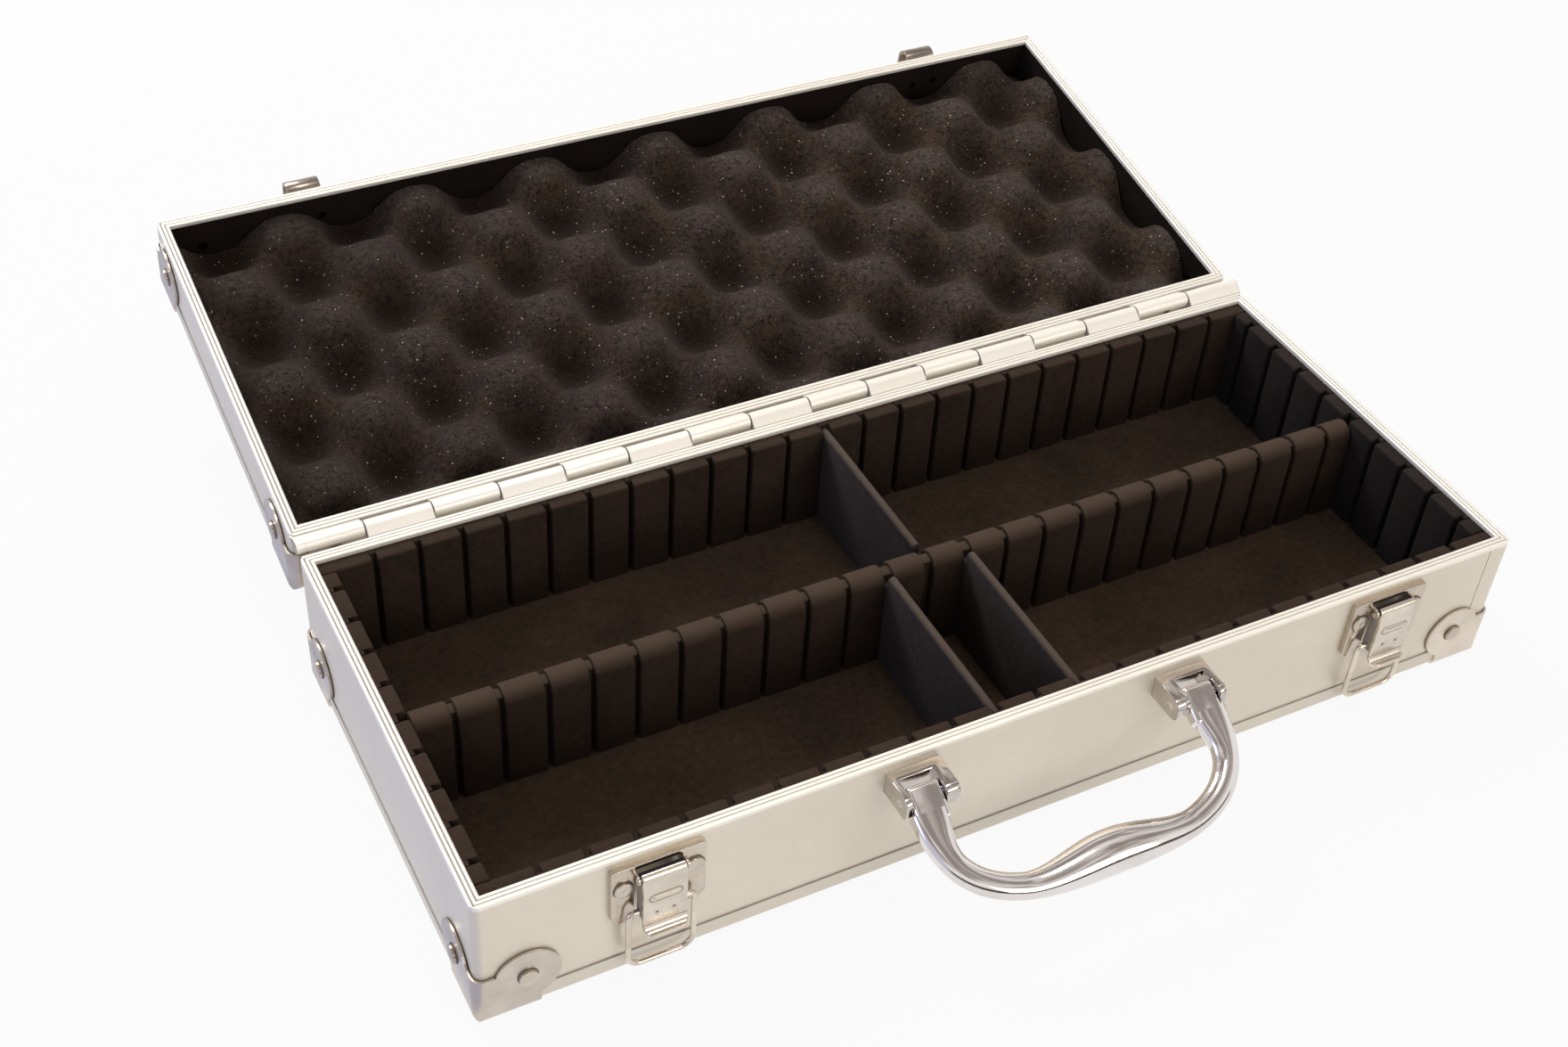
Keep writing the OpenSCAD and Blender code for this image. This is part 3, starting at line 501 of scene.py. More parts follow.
@dataclass(frozen=True)
class OpenFoam(Finish):
    """Soft open-cell foam with glinting cell walls."""

    name: str = "egg_crate_foam"
    # The deep colour is painted shade in the hollows; the crest colour is painted light on the
    # peaks.
    deep: Colour = srgb(38, 27, 19)
    brown: Colour = srgb(72, 56, 43)
    grey: Colour = srgb(58, 48, 42)
    crest: Colour = srgb(77, 67, 61)
    # Painted shade colour, for the pores and over the left side.
    painted_shade: Colour = srgb(14, 9, 7)
    glint: Colour = srgb(198, 182, 166)

    def body(self, graph: Graph, cloud: Sock, dusty: Sock) -> Sock:
        """Painted shade in the hollows, painted light on the crests, and brown dust.

        Args:
            graph: the material's graph.
            cloud: the broad clouds in the foam's tone.
            dusty: where the dust lies.

        Returns:
            The foam's colour without its pores.
        """
        height = graph.kept("height")
        dust = graph.ranged(dusty + (cloud - 0.5) * 0.6, 0.4, 0.64)
        body = graph.mixed(dust, self.grey, self.brown)
        # Low places take the deep colour as painted shade, and high ones the crest colour as
        # painted light.
        low = graph.mixed(graph.ranged(height + (cloud - 0.5) * 0.3, 0.02, 0.5), self.deep, body)
        top = graph.ranged(height + (cloud - 0.5) * 0.35, 0.72, 1.05)
        return graph.mixed(top, low, self.crest)

    def glints(self, graph: Graph) -> Sock:
        """Single bright cells, each by chance and of its own size and strength.

        Args:
            graph: the material's graph.

        Returns:
            How bright a place glints.
        """
        specks = graph.cells(1150.0)
        chance = graph.add("ShaderNodeSeparateColor", None, {"Color": specks["Color"]})
        patch = graph.ranged(graph.noise(17.0, 2.0, 0.5), 0.38, 0.62, 0.94, 0.83)
        reach = graph.ranged(chance["Blue"], 0.0, 1.0, 0.14, 0.4)
        strength = graph.ranged(chance["Green"], 0.0, 1.0, 0.02, 1.0) ** 4.0
        return (chance["Red"] > patch) * (1 - (specks["Distance"] > reach)) * strength

    def build(self, graph: Graph) -> None:
        """The body's tones, pores of under a millimetre darkened with painted shade, painted shade
        over the left side, and the glints.

        Args:
            graph: the material's graph.
        """
        grain = graph.noise(950.0, 3.0, 0.8)
        coarse = graph.noise(430.0, 2.0, 0.7)
        dusty = graph.noise(75.0, 5.0, 0.75)
        tone = self.body(graph, graph.noise(34.0, 4.0, 0.62), dusty)
        # The pores are darkened towards the shade colour: painted shade in the cells.
        pores = graph.ranged(grain * 0.6 + coarse * 0.4, 0.36, 0.56)
        # Painted shade over the left side, darker towards the left.
        painted_left_shade = graph.ranged(graph.part(graph.coords(), "X"), -0.17, 0.1, 0.36, 0.0)
        grained = graph.mixed(painted_left_shade, graph.mixed(pores, self.painted_shade, tone), self.painted_shade)
        graph.principled(
            Base_Color=graph.mixed(self.glints(graph), grained, self.glint),
            Roughness=graph.ranged(grain, 0.3, 0.7, 0.85, 1.0),
            Specular_IOR_Level=0.06,
            Sheen_Weight=0.12,
            Sheen_Roughness=0.5,
            Sheen_Tint=(0.42, 0.36, 0.36),
            Normal=graph.bump(grain * 0.7 + coarse * 0.5 + dusty * 0.8, 0.0011, 0.95))


@dataclass(frozen=True)
class DarkBoard(Finish):
    """Board with a matt dark paper face."""

    name: str = "dark_board"
    colour: Colour = srgb(17, 12, 9)
    light: Colour = srgb(28, 21, 17)

    def build(self, graph: Graph) -> None:
        """Paper fibres and scuffs.

        Args:
            graph: the material's graph.
        """
        fibre = graph.noise(900.0, 3.0, 0.7, (1.0, 0.3, 1.0))
        scuff = graph.noise(70.0, 5.0, 0.7)
        worn = graph.ranged(fibre * 0.6 + scuff, 0.6, 1.2)
        graph.principled(
            Base_Color=graph.mixed(worn, self.colour, self.light),
            Roughness=graph.ranged(scuff, 0.3, 0.7, 0.7, 0.9),
            Specular_IOR_Level=0.08,
            Normal=graph.bump(fibre, 0.00008, 0.6))


@dataclass(frozen=True)
class FacedPanel(Finish):
    """Hardboard with a pebbled pale face, for the large outer panels."""

    name: str = "faced_panel"
    colour: Colour = srgb(214, 209, 199)
    low: Colour = srgb(186, 180, 170)

    def build(self, graph: Graph) -> None:
        """Small pebbles and a faint cloudiness.

        Args:
            graph: the material's graph.
        """
        pebble = graph.cells(420.0, "SMOOTH_F1")["Distance"]
        cloud = graph.noise(14.0, 4.0, 0.6)
        sunk = graph.ranged(cloud + pebble * 0.5, 0.5, 1.1)
        graph.principled(
            Base_Color=graph.mixed(sunk, self.colour, self.low),
            Metallic=0.5,
            Roughness=graph.ranged(cloud, 0.3, 0.7, 0.42, 0.55),
            Normal=graph.bump(pebble, 0.0003, 0.5))


@dataclass(frozen=True)
class LidPose:
    """Where the open lid stands: a place in the closed lid's own frame, moved to the row frame."""

    hinge_y: float = 88.0
    hinge_z: float = 56.0
    lid_height: float = 31.0
    angle: float = 170.0

    def turn(self) -> Pair:
        """The cosine and the sine of the lid's turn about the hinge."""
        return math.cos(math.radians(-self.angle)), math.sin(math.radians(-self.angle))

    def to_row(self, x: np.ndarray, y: np.ndarray, h: np.ndarray) -> np.ndarray:
        """Points of the lid in the row frame.

        Args:
            x: millimetres to the right.
            y: millimetres to the back of the closed case.
            h: millimetres from the lid's outer face towards its rim.

        Returns:
            An array of points, in metres.
        """
        cosine, sine = self.turn()
        dy, dz = y - self.hinge_y, self.lid_height - h
        back = self.hinge_y + dy * cosine - dz * sine
        up = self.hinge_z + dy * sine + dz * cosine
        return np.stack([x, back, up], axis=-1) * MM

    def to_back(self) -> Ruler:
        """Measures how far to the back of the closed case a point of the open lid lies."""
        cosine, sine = self.turn()
        return Ruler((0.0, cosine, sine),
                     (self.hinge_y * (1.0 - cosine) - self.hinge_z * sine) * MM)

    def from_face(self) -> Ruler:
        """Measures how far from its outer face a point of the open lid lies."""
        cosine, sine = self.turn()
        return Ruler((0.0, sine, -cosine),
                     (self.lid_height - self.hinge_y * sine + self.hinge_z * cosine) * MM)


LID = LidPose()
RIM = SatinAluminium("rim_aluminium", srgb(250, 244, 233), srgb(238, 231, 219), (0.12, 1.0, 1.0),
                     0.42, 0.4, 0.08, Ruler((0.0, 1.0, 0.0)), rim_half=83.0 * MM)
LID_RIM = replace(RIM, name="lid_rim_aluminium", ruler=LID.to_back())
SIDE_RIM = SatinAluminium("side_rim_aluminium", srgb(236, 231, 223), srgb(224, 219, 211),
                          (1.0, 0.12, 1.0), 0.44, 0.35, 0.08, Ruler((1.0, 0.0, 0.0)),
                          rim_half=200.0 * MM)
SHEET = SatinAluminium("sheet_aluminium", srgb(228, 219, 203), srgb(214, 204, 188),
                       (0.25, 0.25, 1.0), 0.38, 0.55)
EDGE = SatinAluminium("edge_aluminium", srgb(228, 220, 205), srgb(212, 203, 188), (0.2, 0.2, 1.0),
                      0.46, 0.35, 0.1, free_end=8.35 * MM)
LID_EDGE = replace(EDGE, name="lid_edge_aluminium", ruler=LID.from_face())
NICKEL = PlatedSteel()
PLATE_NICKEL = PlatedSteel("plate_nickel", srgb(206, 194, 179), srgb(176, 163, 148), 0.2)
# A darker copy of the nickel plate for the strikes: painted reflection of dark surroundings.
SHADED_NICKEL = PlatedSteel("dark_nickel", srgb(170, 158, 146), srgb(132, 121, 111), 0.22)
CAP_NICKEL = PlatedSteel("cap_nickel", srgb(206, 196, 184), srgb(182, 171, 159), 0.3)
# A lit copy of the caps' nickel: painted light on the front right cap.
CAP_LIT = PlatedSteel("cap_bright", srgb(224, 213, 198), srgb(208, 196, 181), 0.36)
LEVER_NICKEL = ShadedSteel()
RIVET_NICKEL = ShadedSteel("rivet_nickel", srgb(212, 201, 187), srgb(184, 172, 158),
                           srgb(14, 10, 8), 0.0)
CHROME = PolishedChrome()
BRACKET_CHROME = PolishedChrome("bracket_chrome", srgb(206, 199, 193), srgb(178, 170, 163))
TRAY = TrayFoam()
TRAY_SHADED = TrayFoam("tray_foam_shaded", srgb(21, 17, 16), srgb(38, 32, 31), 0.05,
                       srgb(64, 53, 45))
MAT = TrayFoam("mat_foam", srgb(42, 31, 23), srgb(74, 57, 43), 0.08, painted_top_light=0.0)
# The centre and cross dividers take more painted light on their tops.
CENTRE = TrayFoam("centre_divider_foam", top=srgb(88, 72, 60), painted_top_light=0.5)
CROSS = TrayFoam("cross_divider_foam", srgb(34, 28, 28), srgb(58, 50, 48), 0.08,
                 srgb(100, 86, 74), 0.5)
EGG_CRATE = OpenFoam()
LINING = DarkBoard()
CORE = DarkBoard("core_board", srgb(20, 14, 11), srgb(34, 26, 20))
PANEL = FacedPanel()


def dress(name: str, finish: Finish) -> None:
    """Give a CAD node a finish.

    Args:
        name: the node's name.
        finish: the finish of its whole surface.
    """
    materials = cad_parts[name].data.materials
    materials.clear()
    materials.append(finish.material())
    log.info("%s dressed in %s", name, finish.name)


def placed(name: str, data: bpy.types.ID) -> bpy.types.Object:
    """Put a new object in the scene.

    Args:
        name: the object's name.
        data: its mesh, lamp or camera.

    Returns:
        The object.
    """
    made = bpy.data.objects.new(name, data)
    bpy.context.scene.collection.objects.link(made)
    return made


def stand_in(name: str, node: str, mesh: bpy.types.Mesh, body: str, finish: Finish) -> None:
    """Put a new piece in the place of a CAD node.

    Args:
        name: the piece's name.
        node: the node's name.
        mesh: the piece's mesh, in place at rest.
        body: the CAD body that it moves with.
        finish: its finish.
    """
    piece = placed(name, mesh)
    mesh.materials.clear()
    mesh.materials.append(finish.material())
    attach(piece, body)
    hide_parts(node)
    log.info("%s built, %d faces, on %s", name, len(mesh.polygons), body)


def smooth(mesh: bpy.types.Mesh, angle: float) -> None:
    """Shade a mesh smooth, with sharp edges above an angle in degrees."""
    mesh.polygons.foreach_set("use_smooth", [True] * len(mesh.polygons))
    mesh.set_sharp_from_angle(angle=math.radians(angle))


def keep(mesh: bpy.types.Mesh, name: str, values: Sequence[float]) -> None:
    """Keep a value from 0 to 1 on each point under a name, which a finish reads."""
    made = mesh.attributes.new(name, "FLOAT", "POINT")
    made.data.foreach_set("value", np.array(values, dtype=np.float32))


def arc(middle: Pair, radius: float, first: float, last: float, steps: int) -> list[Pair]:
    """Points round a middle, from one angle to another, in degrees."""
    turns = (math.radians(first + (last - first) * k / steps) for k in range(steps + 1))
    return [(middle[0] + radius * math.cos(t), middle[1] + radius * math.sin(t)) for t in turns]


def run(start: Pair, stop: Pair, steps: int) -> list[Pair]:
    """Points of a straight line, with both ends."""
    return [tuple(a + (b - a) * k / steps for a, b in zip(start, stop)) for k in range(steps + 1)]


def strip(work: bmesh.types.BMesh, low: Sequence[bmesh.types.BMVert],
          high: Sequence[bmesh.types.BMVert]) -> None:
    """Add the faces between two rows of points."""
    for corners in zip(low, low[1:], high[1:], high):
        work.faces.new(corners)


def loft(work: bmesh.types.BMesh, rings: Iterable[Iterable[Sequence[float]]]) -> None:
    """Add a skin over rings of points, closed at both ends.

    Args:
        work: the bmesh that takes it.
        rings: the rings, in their order.
    """
    made = [[work.verts.new(point) for point in ring] for ring in rings]
    for low, high in zip(made, made[1:]):
        strip(work, [*low, low[0]], [*high, high[0]])
    work.faces.new(made[0][::-1])
    work.faces.new(made[-1])


def block(work: bmesh.types.BMesh, size: Sequence[float], middle: Sequence[float], width: float,
          segments: int) -> None:
    """Add a block with rounded edges.

    Args:
        work: the bmesh that takes it.
        size: its three sizes.
        middle: where its middle lies.
        width: the rounding's width.
        segments: how many faces make the rounding.
    """
    made = bmesh.ops.create_cube(work, size=1.0)["verts"]
    bmesh.ops.scale(work, vec=size, verts=made)
    bmesh.ops.translate(work, vec=middle, verts=made)
    edges = list(dict.fromkeys(e for v in made for e in v.link_edges))
    bmesh.ops.bevel(work, geom=edges, offset=width, segments=segments, profile=0.5, affect="EDGES")


def joined(name: str) -> bmesh.types.BMesh:
    """A CAD node's mesh as a new bmesh, with its double points made one.

    Args:
        name: the node's name.

    Returns:
        The bmesh.
    """
    work = bmesh.new()
    work.from_mesh(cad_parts[name].data)
    bmesh.ops.remove_doubles(work, verts=work.verts, dist=2e-6)
    return work


def closed(work: bmesh.types.BMesh, name: str, angle: float = 50.0) -> bpy.types.Mesh:
    """Turn a bmesh into a mesh, and free it.

    Args:
        work: the bmesh.
        name: the mesh's name.
        angle: the angle in degrees above which an edge stays sharp.

    Returns:
        The mesh, with its faces outward, shaded smooth.
    """
    bmesh.ops.recalc_face_normals(work, faces=work.faces)
    mesh = bpy.data.meshes.new(name)
    work.to_mesh(mesh)
    work.free()
    smooth(mesh, angle)
    return mesh


def softened(name: str, width: float) -> bpy.types.Mesh:
    """A copy of a CAD node's mesh with its edges rounded.

    Args:
        name: the node's name.
        width: the rounding's width, in metres.

    Returns:
        The new mesh.
    """
    flat, least = math.radians(1.0), math.radians(40.0)
    work = joined(name)
    bmesh.ops.dissolve_limit(work, angle_limit=flat, verts=work.verts, edges=work.edges)
    edges = [e for e in work.edges if len(e.link_faces) == 2 and e.calc_face_angle(0.0) > least]
    bmesh.ops.bevel(work, geom=edges, offset=width, segments=2, profile=0.5, affect="EDGES",
                    clamp_overlap=True, loop_slide=True)
    return closed(work, name + "_rounded", 35.0)


def round_off(name: str, width: float, body: str, finish: Finish) -> None:
    """Put a copy of a CAD node with rounded edges in its place."""
    stand_in(name + "_rounded", name, softened(name, width), body, finish)


@dataclass
class EggCrateBlock:
    """The lid's foam block, with rows of rounded peaks and hollows."""

    width: float = 390.2
    depth: float = 156.2
    hinge_wall: float = 83.0
    wave_x: float = 26.9
    wave_y: float = 25.6
    peak_depth: float = 6.0
    hollow_depth: float = 21.0
    first_x: float = -178.6
    first_y: float = 26.5
    skew: float = 0.022
    floor: float = 5.65
    columns: int = 260
    rows: int = 104
    unevenness: float = 0.9
    steepness: float = 1.35
    fullness: float = 0.9

    @staticmethod
    def drift(x: float, y: float, scale: float, layer: float) -> float:
        """Smooth noise from 0 to 1 over the foam."""
        return 0.5 + 0.5 * noise.noise(Vector((x * scale, y * scale, layer)))

    def crest(self, x: float, y: float) -> Pair:
        """The foam's surface over a place.

        Args:
            x: millimetres to the right.
            y: millimetres to the back of the closed case.

        Returns:
            Its height from the lid's outer face, and its share of the way up to a peak.
        """
        from_hinge = self.hinge_wall - y - self.skew * (x - self.first_x)
        wave = (math.cos(math.pi * (x - self.first_x) / self.wave_x)
                * math.cos(math.pi * (from_hinge - self.first_y) / self.wave_y))
        steep = math.tanh(self.steepness * wave) / math.tanh(self.steepness)
        share = max(0.0, (steep + 1) / 2) ** self.fullness
        broad, fine = self.drift(x, y, 0.035, 3.7), self.drift(x, y, 0.16, 9.1)
        lift = self.unevenness * (0.7 * broad + 0.3 * fine)
        low = LID.lid_height - self.hollow_depth
        return low + (self.hollow_depth - self.peak_depth) * share + lift, share

    def build(self) -> None:
        """Build the block in place of the CAD's foam."""
        nx, ny = self.columns, self.rows
        row = nx + 1
        xs = np.linspace(-self.width / 2, self.width / 2, row)
        ys = np.linspace(-self.depth / 2, self.depth / 2, ny + 1)
        top = [(x, y, *self.crest(x, y)) for y in ys for x in xs]
        ring = [*range(nx), *(j * row + nx for j in range(ny)),
                *(ny * row + i for i in range(nx, 0, -1)), *(j * row for j in range(ny, 0, -1))]
        data = np.array(top + [(*top[k][:2], self.floor, 0.0) for k in ring])
        faces = [(j * row + i, (j + 1) * row + i, (j + 1) * row + i + 1, j * row + i + 1)
                 for j in range(ny) for i in range(nx)]
        first, count = len(top), len(ring)
        faces += [(ring[k], ring[(k + 1) % count], first + (k + 1) % count, first + k)
                  for k in range(count)]
        faces.append(tuple(range(first, first + count)))
        mesh = bpy.data.meshes.new("lid_foam_block")
        mesh.from_pydata(LID.to_row(*data.T[:3]).tolist(), [], faces)
        mesh.update()
        keep(mesh, "height", data[:, 3])
        smooth(mesh, 60.0)
        stand_in("egg_crate_block", "lid_foam", mesh, "lid", EGG_CRATE)


@dataclass
class SlottedBoard:
    """A foam board with upright slots at one spacing, lofted along its length.

    Its section is drawn with the depth from the wall, or from the board's middle, and the height.
    """

    name: str
    count: int
    along: Pair
    inward: Pair
    wide: tuple[int, ...]
    shift: float = 0.0
    pitch: float = 16.1
    slot: float = 2.1
    wide_slot: float = 3.7
    slot_depth: float = 3.7
    slot_rounding: float = 0.3
    rounding: float = 0.9
    uneven: float = 0.3
    arc_steps: int = 4

    def __post_init__(self) -> None:
        """Read the CAD node's corners, in millimetres."""
        self.low, self.high = (np.array(corner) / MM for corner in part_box(self.name))

    def section(self, inset: float, in_slot: bool) -> list[Pair]:
        """The section's points.

        Args:
            inset: how far the open faces stand back.
            in_slot: whether it lies in a slot.

        Returns:
            Depth and height of each point, in millimetres.
        """
        low, high = self.low[2], self.high[2]
        deep = self.thick() - (self.slot_depth if in_slot else inset)
        top = high - (0.0 if in_slot else inset)
        radius = self.slot_rounding if in_slot else self.rounding
        corner = arc((deep - radius, top - radius), radius, 0.0, 90.0, self.arc_steps)
        return [(0.0, low), (deep, low), *corner, (0.0, top)]

    def thick(self) -> float:
        """The board's thickness."""
        return float(abs(np.dot(self.high[:2] - self.low[:2], self.inward)))

    def ends(self) -> Pair:
        """Where the board starts and stops along its length."""
        return float(np.dot(self.low[:2], self.along)), float(np.dot(self.high[:2], self.along))

    def wall(self) -> float:
        """Where the section's zero depth lies, measured inward from the tray's middle."""
        return float(min(np.dot(self.low[:2], self.inward), np.dot(self.high[:2], self.inward)))

    def drift(self, place: float, scale: float, layer: Pair) -> float:
        """Smooth noise along the board, as far as it is uneven to either side."""
        return self.uneven * noise.noise(Vector((place * scale, *layer)))

    def stations(self) -> list[tuple[float, float, bool]]:
        """The rings of the loft.

        Returns:
            Each ring's place along the board, its inset, and whether it lies in a slot.
        """
        start, stop = self.ends()
        edges = [start]
        for i in range(self.count):
            half = (self.wide_slot if i in self.wide else self.slot) / 2
            middle = (i - (self.count - 1) / 2) * self.pitch + self.shift
            middle += 0.0 if i in self.wide else self.drift(middle, 0.37, (4.0, 1.3))
            edges += [middle - half, middle + half]
        edges.append(stop)
        rings: list[tuple[float, float, bool]] = []
        r = self.rounding * 0.6
        corner = ((0.0, r), (0.3 * r, 0.3 * r), (r, 0.0))
        for begin, end, after in zip(edges[::2], edges[1::2], [*edges[2::2], stop]):
            proud = (self.uneven + self.drift(begin, 0.71, (2.0, 7.7))) / 2
            rings += [(begin + run_in, proud + back, False) for run_in, back in corner]
            rings += [(end - run_in, proud + back, False) for run_in, back in corner[::-1]]
            if end < stop:
                rings += [(end, 0.0, True), (after, 0.0, True)]
        return rings

    def build(self, finish: Finish) -> None:
        """Build the board in place of its CAD node.

        Args:
            finish: the board's finish.
        """
        (along_x, along_y), (in_x, in_y), wall = self.along, self.inward, self.wall()
        work = bmesh.new()
        loft(work, ((((place * along_x + (wall + depth) * in_x) * MM,
                      (place * along_y + (wall + depth) * in_y) * MM, height * MM)
                     for depth, height in self.section(inset, in_slot))
                    for place, inset, in_slot in self.stations()))
        self.add_ends(work)
        name = self.name + "_board"
        stand_in(name, self.name, closed(work, name), "base", finish)

    def add_ends(self, work: bmesh.types.BMesh) -> None:
        """Add what the loft doesn't make."""


@dataclass
class CentreBoard(SlottedBoard):
    """The long divider with a rounded top, whose ends have a tongue in the side liners' slots."""

    crown_steps: int = 12
    face_slot: float = 3.0
    crown_slot: float = 1.6
    tongue_thick: float = 3.3
    tongue_play: float = 0.15

    def section(self, inset: float, in_slot: bool) -> list[Pair]:
        """The section's points, with a half round over two faces.

        Args:
            inset: how far the open faces stand back.
            in_slot: whether it lies in a slot.

        Returns:
            Depth and height of each point, in millimetres.
        """
        low, half = self.low[2], self.thick() / 2
        face = half - (self.face_slot if in_slot else inset)
        crown = half - (self.crown_slot if in_slot else inset)
        first = math.degrees(math.acos(min(1.0, face / crown)))
        over = arc((half, self.high[2] - half), crown, first, 180.0 - first, self.crown_steps)
        return [(half - face, low), (half + face, low), *over]

    def ends(self) -> Pair:
        """The board's own ends, without the tongue."""
        start, stop = super().ends()
        return start + self.slot_depth - self.tongue_play, stop - self.slot_depth + self.tongue_play

    def add_ends(self, work: bmesh.types.BMesh) -> None:
        """Add the tongue at both ends.

        Args:
            work: the bmesh that takes it.
        """
        low = self.low[2]
        tall = self.high[2] - self.thick() / 2 - low
        for place in super().ends():
            inner = place - math.copysign(self.slot_depth + 1.0, place)
            size = Vector((abs(place - inner), self.tongue_thick, tall)) * MM
            block(work, size, Vector(((place + inner) / 2, 0.0, low + tall / 2)) * MM, 0.4 * MM, 2)


@dataclass
class Tray:
    """The base's foam boards, all cut from one sheet."""

    rounding: float = 0.45 * MM
    slots_along: int = 23
    slots_across: int = 9
    shift: float = 1.2

    def build(self) -> None:
        """Build the liners, the dividers and the mat."""
        right, left, back, front = (1.0, 0.0), (-1.0, 0.0), (0.0, 1.0), (0.0, -1.0)
        long, across, shift = self.slots_along, self.slots_across, self.shift
        SlottedBoard("liner_front", long, right, back, (10, 12), shift).build(TRAY)
        SlottedBoard("liner_back", long, right, front, (11,), shift).build(TRAY)
        SlottedBoard("liner_left", across, back, right, (4,)).build(TRAY)
        SlottedBoard("liner_right", across, back, left, (4,)).build(TRAY_SHADED)
        CentreBoard("centre_divider", long, right, back, (10, 11, 12), shift).build(CENTRE)
        for name, finish, fill in (
                ("cross_divider_back", CROSS, 0.95), ("cross_divider_front_left", CROSS, 0.95),
                ("cross_divider_front_right", CROSS, 0.95), ("floor_mat", MAT, 0.9)):
            mesh = softened(name, self.rounding)
            stand_in(name + "_board", name, mesh, "base", finish)


@dataclass
class RivetHeads:
    """Domed rivet heads in place of a CAD node's plain ones, with a dark line round each foot, part
    dirt and part painted shade.
    """

    node: str
    body: str
    dome: float = 0.55 * MM
    foot: float = 0.35 * MM
    sunk: float = 0.2 * MM
    dimple: float = 0.3 * MM
    dimple_share: float = 0.42
    around: int = 40
    rings: int = 10

    def islands(self) -> list[np.ndarray]:
        """The node's rivets, apart from each other.

        Returns:
            The points of each of them, in metres.
        """
        work = joined(self.node)
        seen: set[bmesh.types.BMVert] = set()
        found = []
        for first in work.verts:
            if first in seen:
                continue
            seen.add(first)
            island = [first]
            for vert in island:
                others = dict.fromkeys(e.other_vert(vert) for e in vert.link_edges)
                fresh = [v for v in others if v not in seen]
                seen.update(fresh)
                island += fresh
            found.append(np.array([v.co[:] for v in island]))
        work.free()
        return found

    @staticmethod
    def measured(points: np.ndarray) -> tuple[np.ndarray, np.ndarray, float, float, float]:
        """A rivet's place and sizes.

        Args:
            points: the rivet's points.

        Returns:
            The centre of the head's top, the axis out of it, the head's radius and height, and
            the rivet's length.
        """
        middle = (points.min(axis=0) + points.max(axis=0)) / 2
        values, axes = np.linalg.eigh(np.cov((points - middle).T))
        odd = int(np.argmax([np.abs(values - value).sum() for value in values]))
        axis = axes[:, odd]
        along = (points - middle) @ axis
        off = np.linalg.norm(points - middle - np.outer(along, axis), axis=1)
        radius = off.max()
        head = along[off > radius * 0.97]
        if abs(head.min() - along.min()) < abs(head.max() - along.max()):
            axis, along, head = -axis, -along, -head
        top = along.max()
        return (middle + axis * top, axis, float(radius), float(top - head.min()),
                float(top - along.min()))

    def profile(self, radius: float, tall: float, length: float) -> list[Point]:
        """The line that is turned about a rivet's axis.

        Args:
            radius: the head's radius.
            tall: the head's height.
            length: the rivet's length.

        Returns:
            Each point's distance from the axis, its height over the head's top, and its shade.
        """
        line = [(0.02 * radius, self.dome - self.dimple, 0.0)]
        for share in (k / self.rings for k in range(1, self.rings + 1)):
            rise = (self.dome * math.sqrt(1 - (0.94 * share) ** 2)
                    - self.dimple * max(0.0, 1 - share / self.dimple_share) ** 1.5)
            line.append((radius * share * 0.98, rise, 0.0))
        # The foot's dark ring is part dirt and part painted shade; the shank's end is dark to match
        # the lining round it.
        foot, shank, below = radius + self.foot, radius * 0.5, -tall - self.sunk
        return line + [(radius, -0.3 * tall, 0.0), (radius, -0.75 * tall, 0.5),
                       (foot, -0.86 * tall, 0.75), (foot, below, 0.75), (shank, below, 0.9),
                       (shank, -length, 1.0), (0.02 * radius, -length, 1.0)]

    def build(self) -> None:
        """Build the heads and their shanks as one piece."""
        work = bmesh.new()
        shade: list[float] = []
        turns = [2 * math.pi * k / self.around for k in range(self.around)]
        for points in self.islands():
            top, axis, *sizes = self.measured(points)
            turn = Vector(axis).to_track_quat("Z", "Y").to_matrix().to_4x4()
            place = Matrix.Translation(Vector(top)) @ turn
            line = self.profile(*sizes)
            loft(work, ((place @ Vector((out * math.cos(t), out * math.sin(t), up)) for t in turns)
                        for out, up, _ in line))
            shade += [tone for *_, tone in line for _ in turns]
        name = self.node + "_heads"
        mesh = closed(work, name)
        keep(mesh, "shade", shade)
        stand_in(name, self.node, mesh, self.body, RIVET_NICKEL)


@dataclass
class ShellHalf:
    """The base or the lid: rims, sheet, edging, panel, core and corner caps."""

    body: str
    panel: str
    rim: SatinAluminium
    edge: SatinAluminium
    lit_cap: str = ""
    knuckle: float = 25.0 * MM

    def build(self) -> None:
        """Dress the shell's nodes, and build its rivets' heads."""
        back = replace(self.rim, name=self.rim.name + "_back", pitch=self.knuckle)
        finishes = {
            "rim_front": self.rim, "rim_back": back, "rim_left": SIDE_RIM, "rim_right": SIDE_RIM,
            "skin": SHEET, "edge": self.edge, self.panel: PANEL, "core": CORE}
        # One cap may take the lit copy of the nickel: painted light.
        for corner in ("front_left", "front_right", "back_left", "back_right"):
            finishes["cap_" + corner] = CAP_LIT if corner == self.lit_cap else CAP_NICKEL
        for name, finish in finishes.items():
            dress(f"{self.body}_{name}", finish)
        RivetHeads(f"{self.body}_cap_rivets", self.body).build()


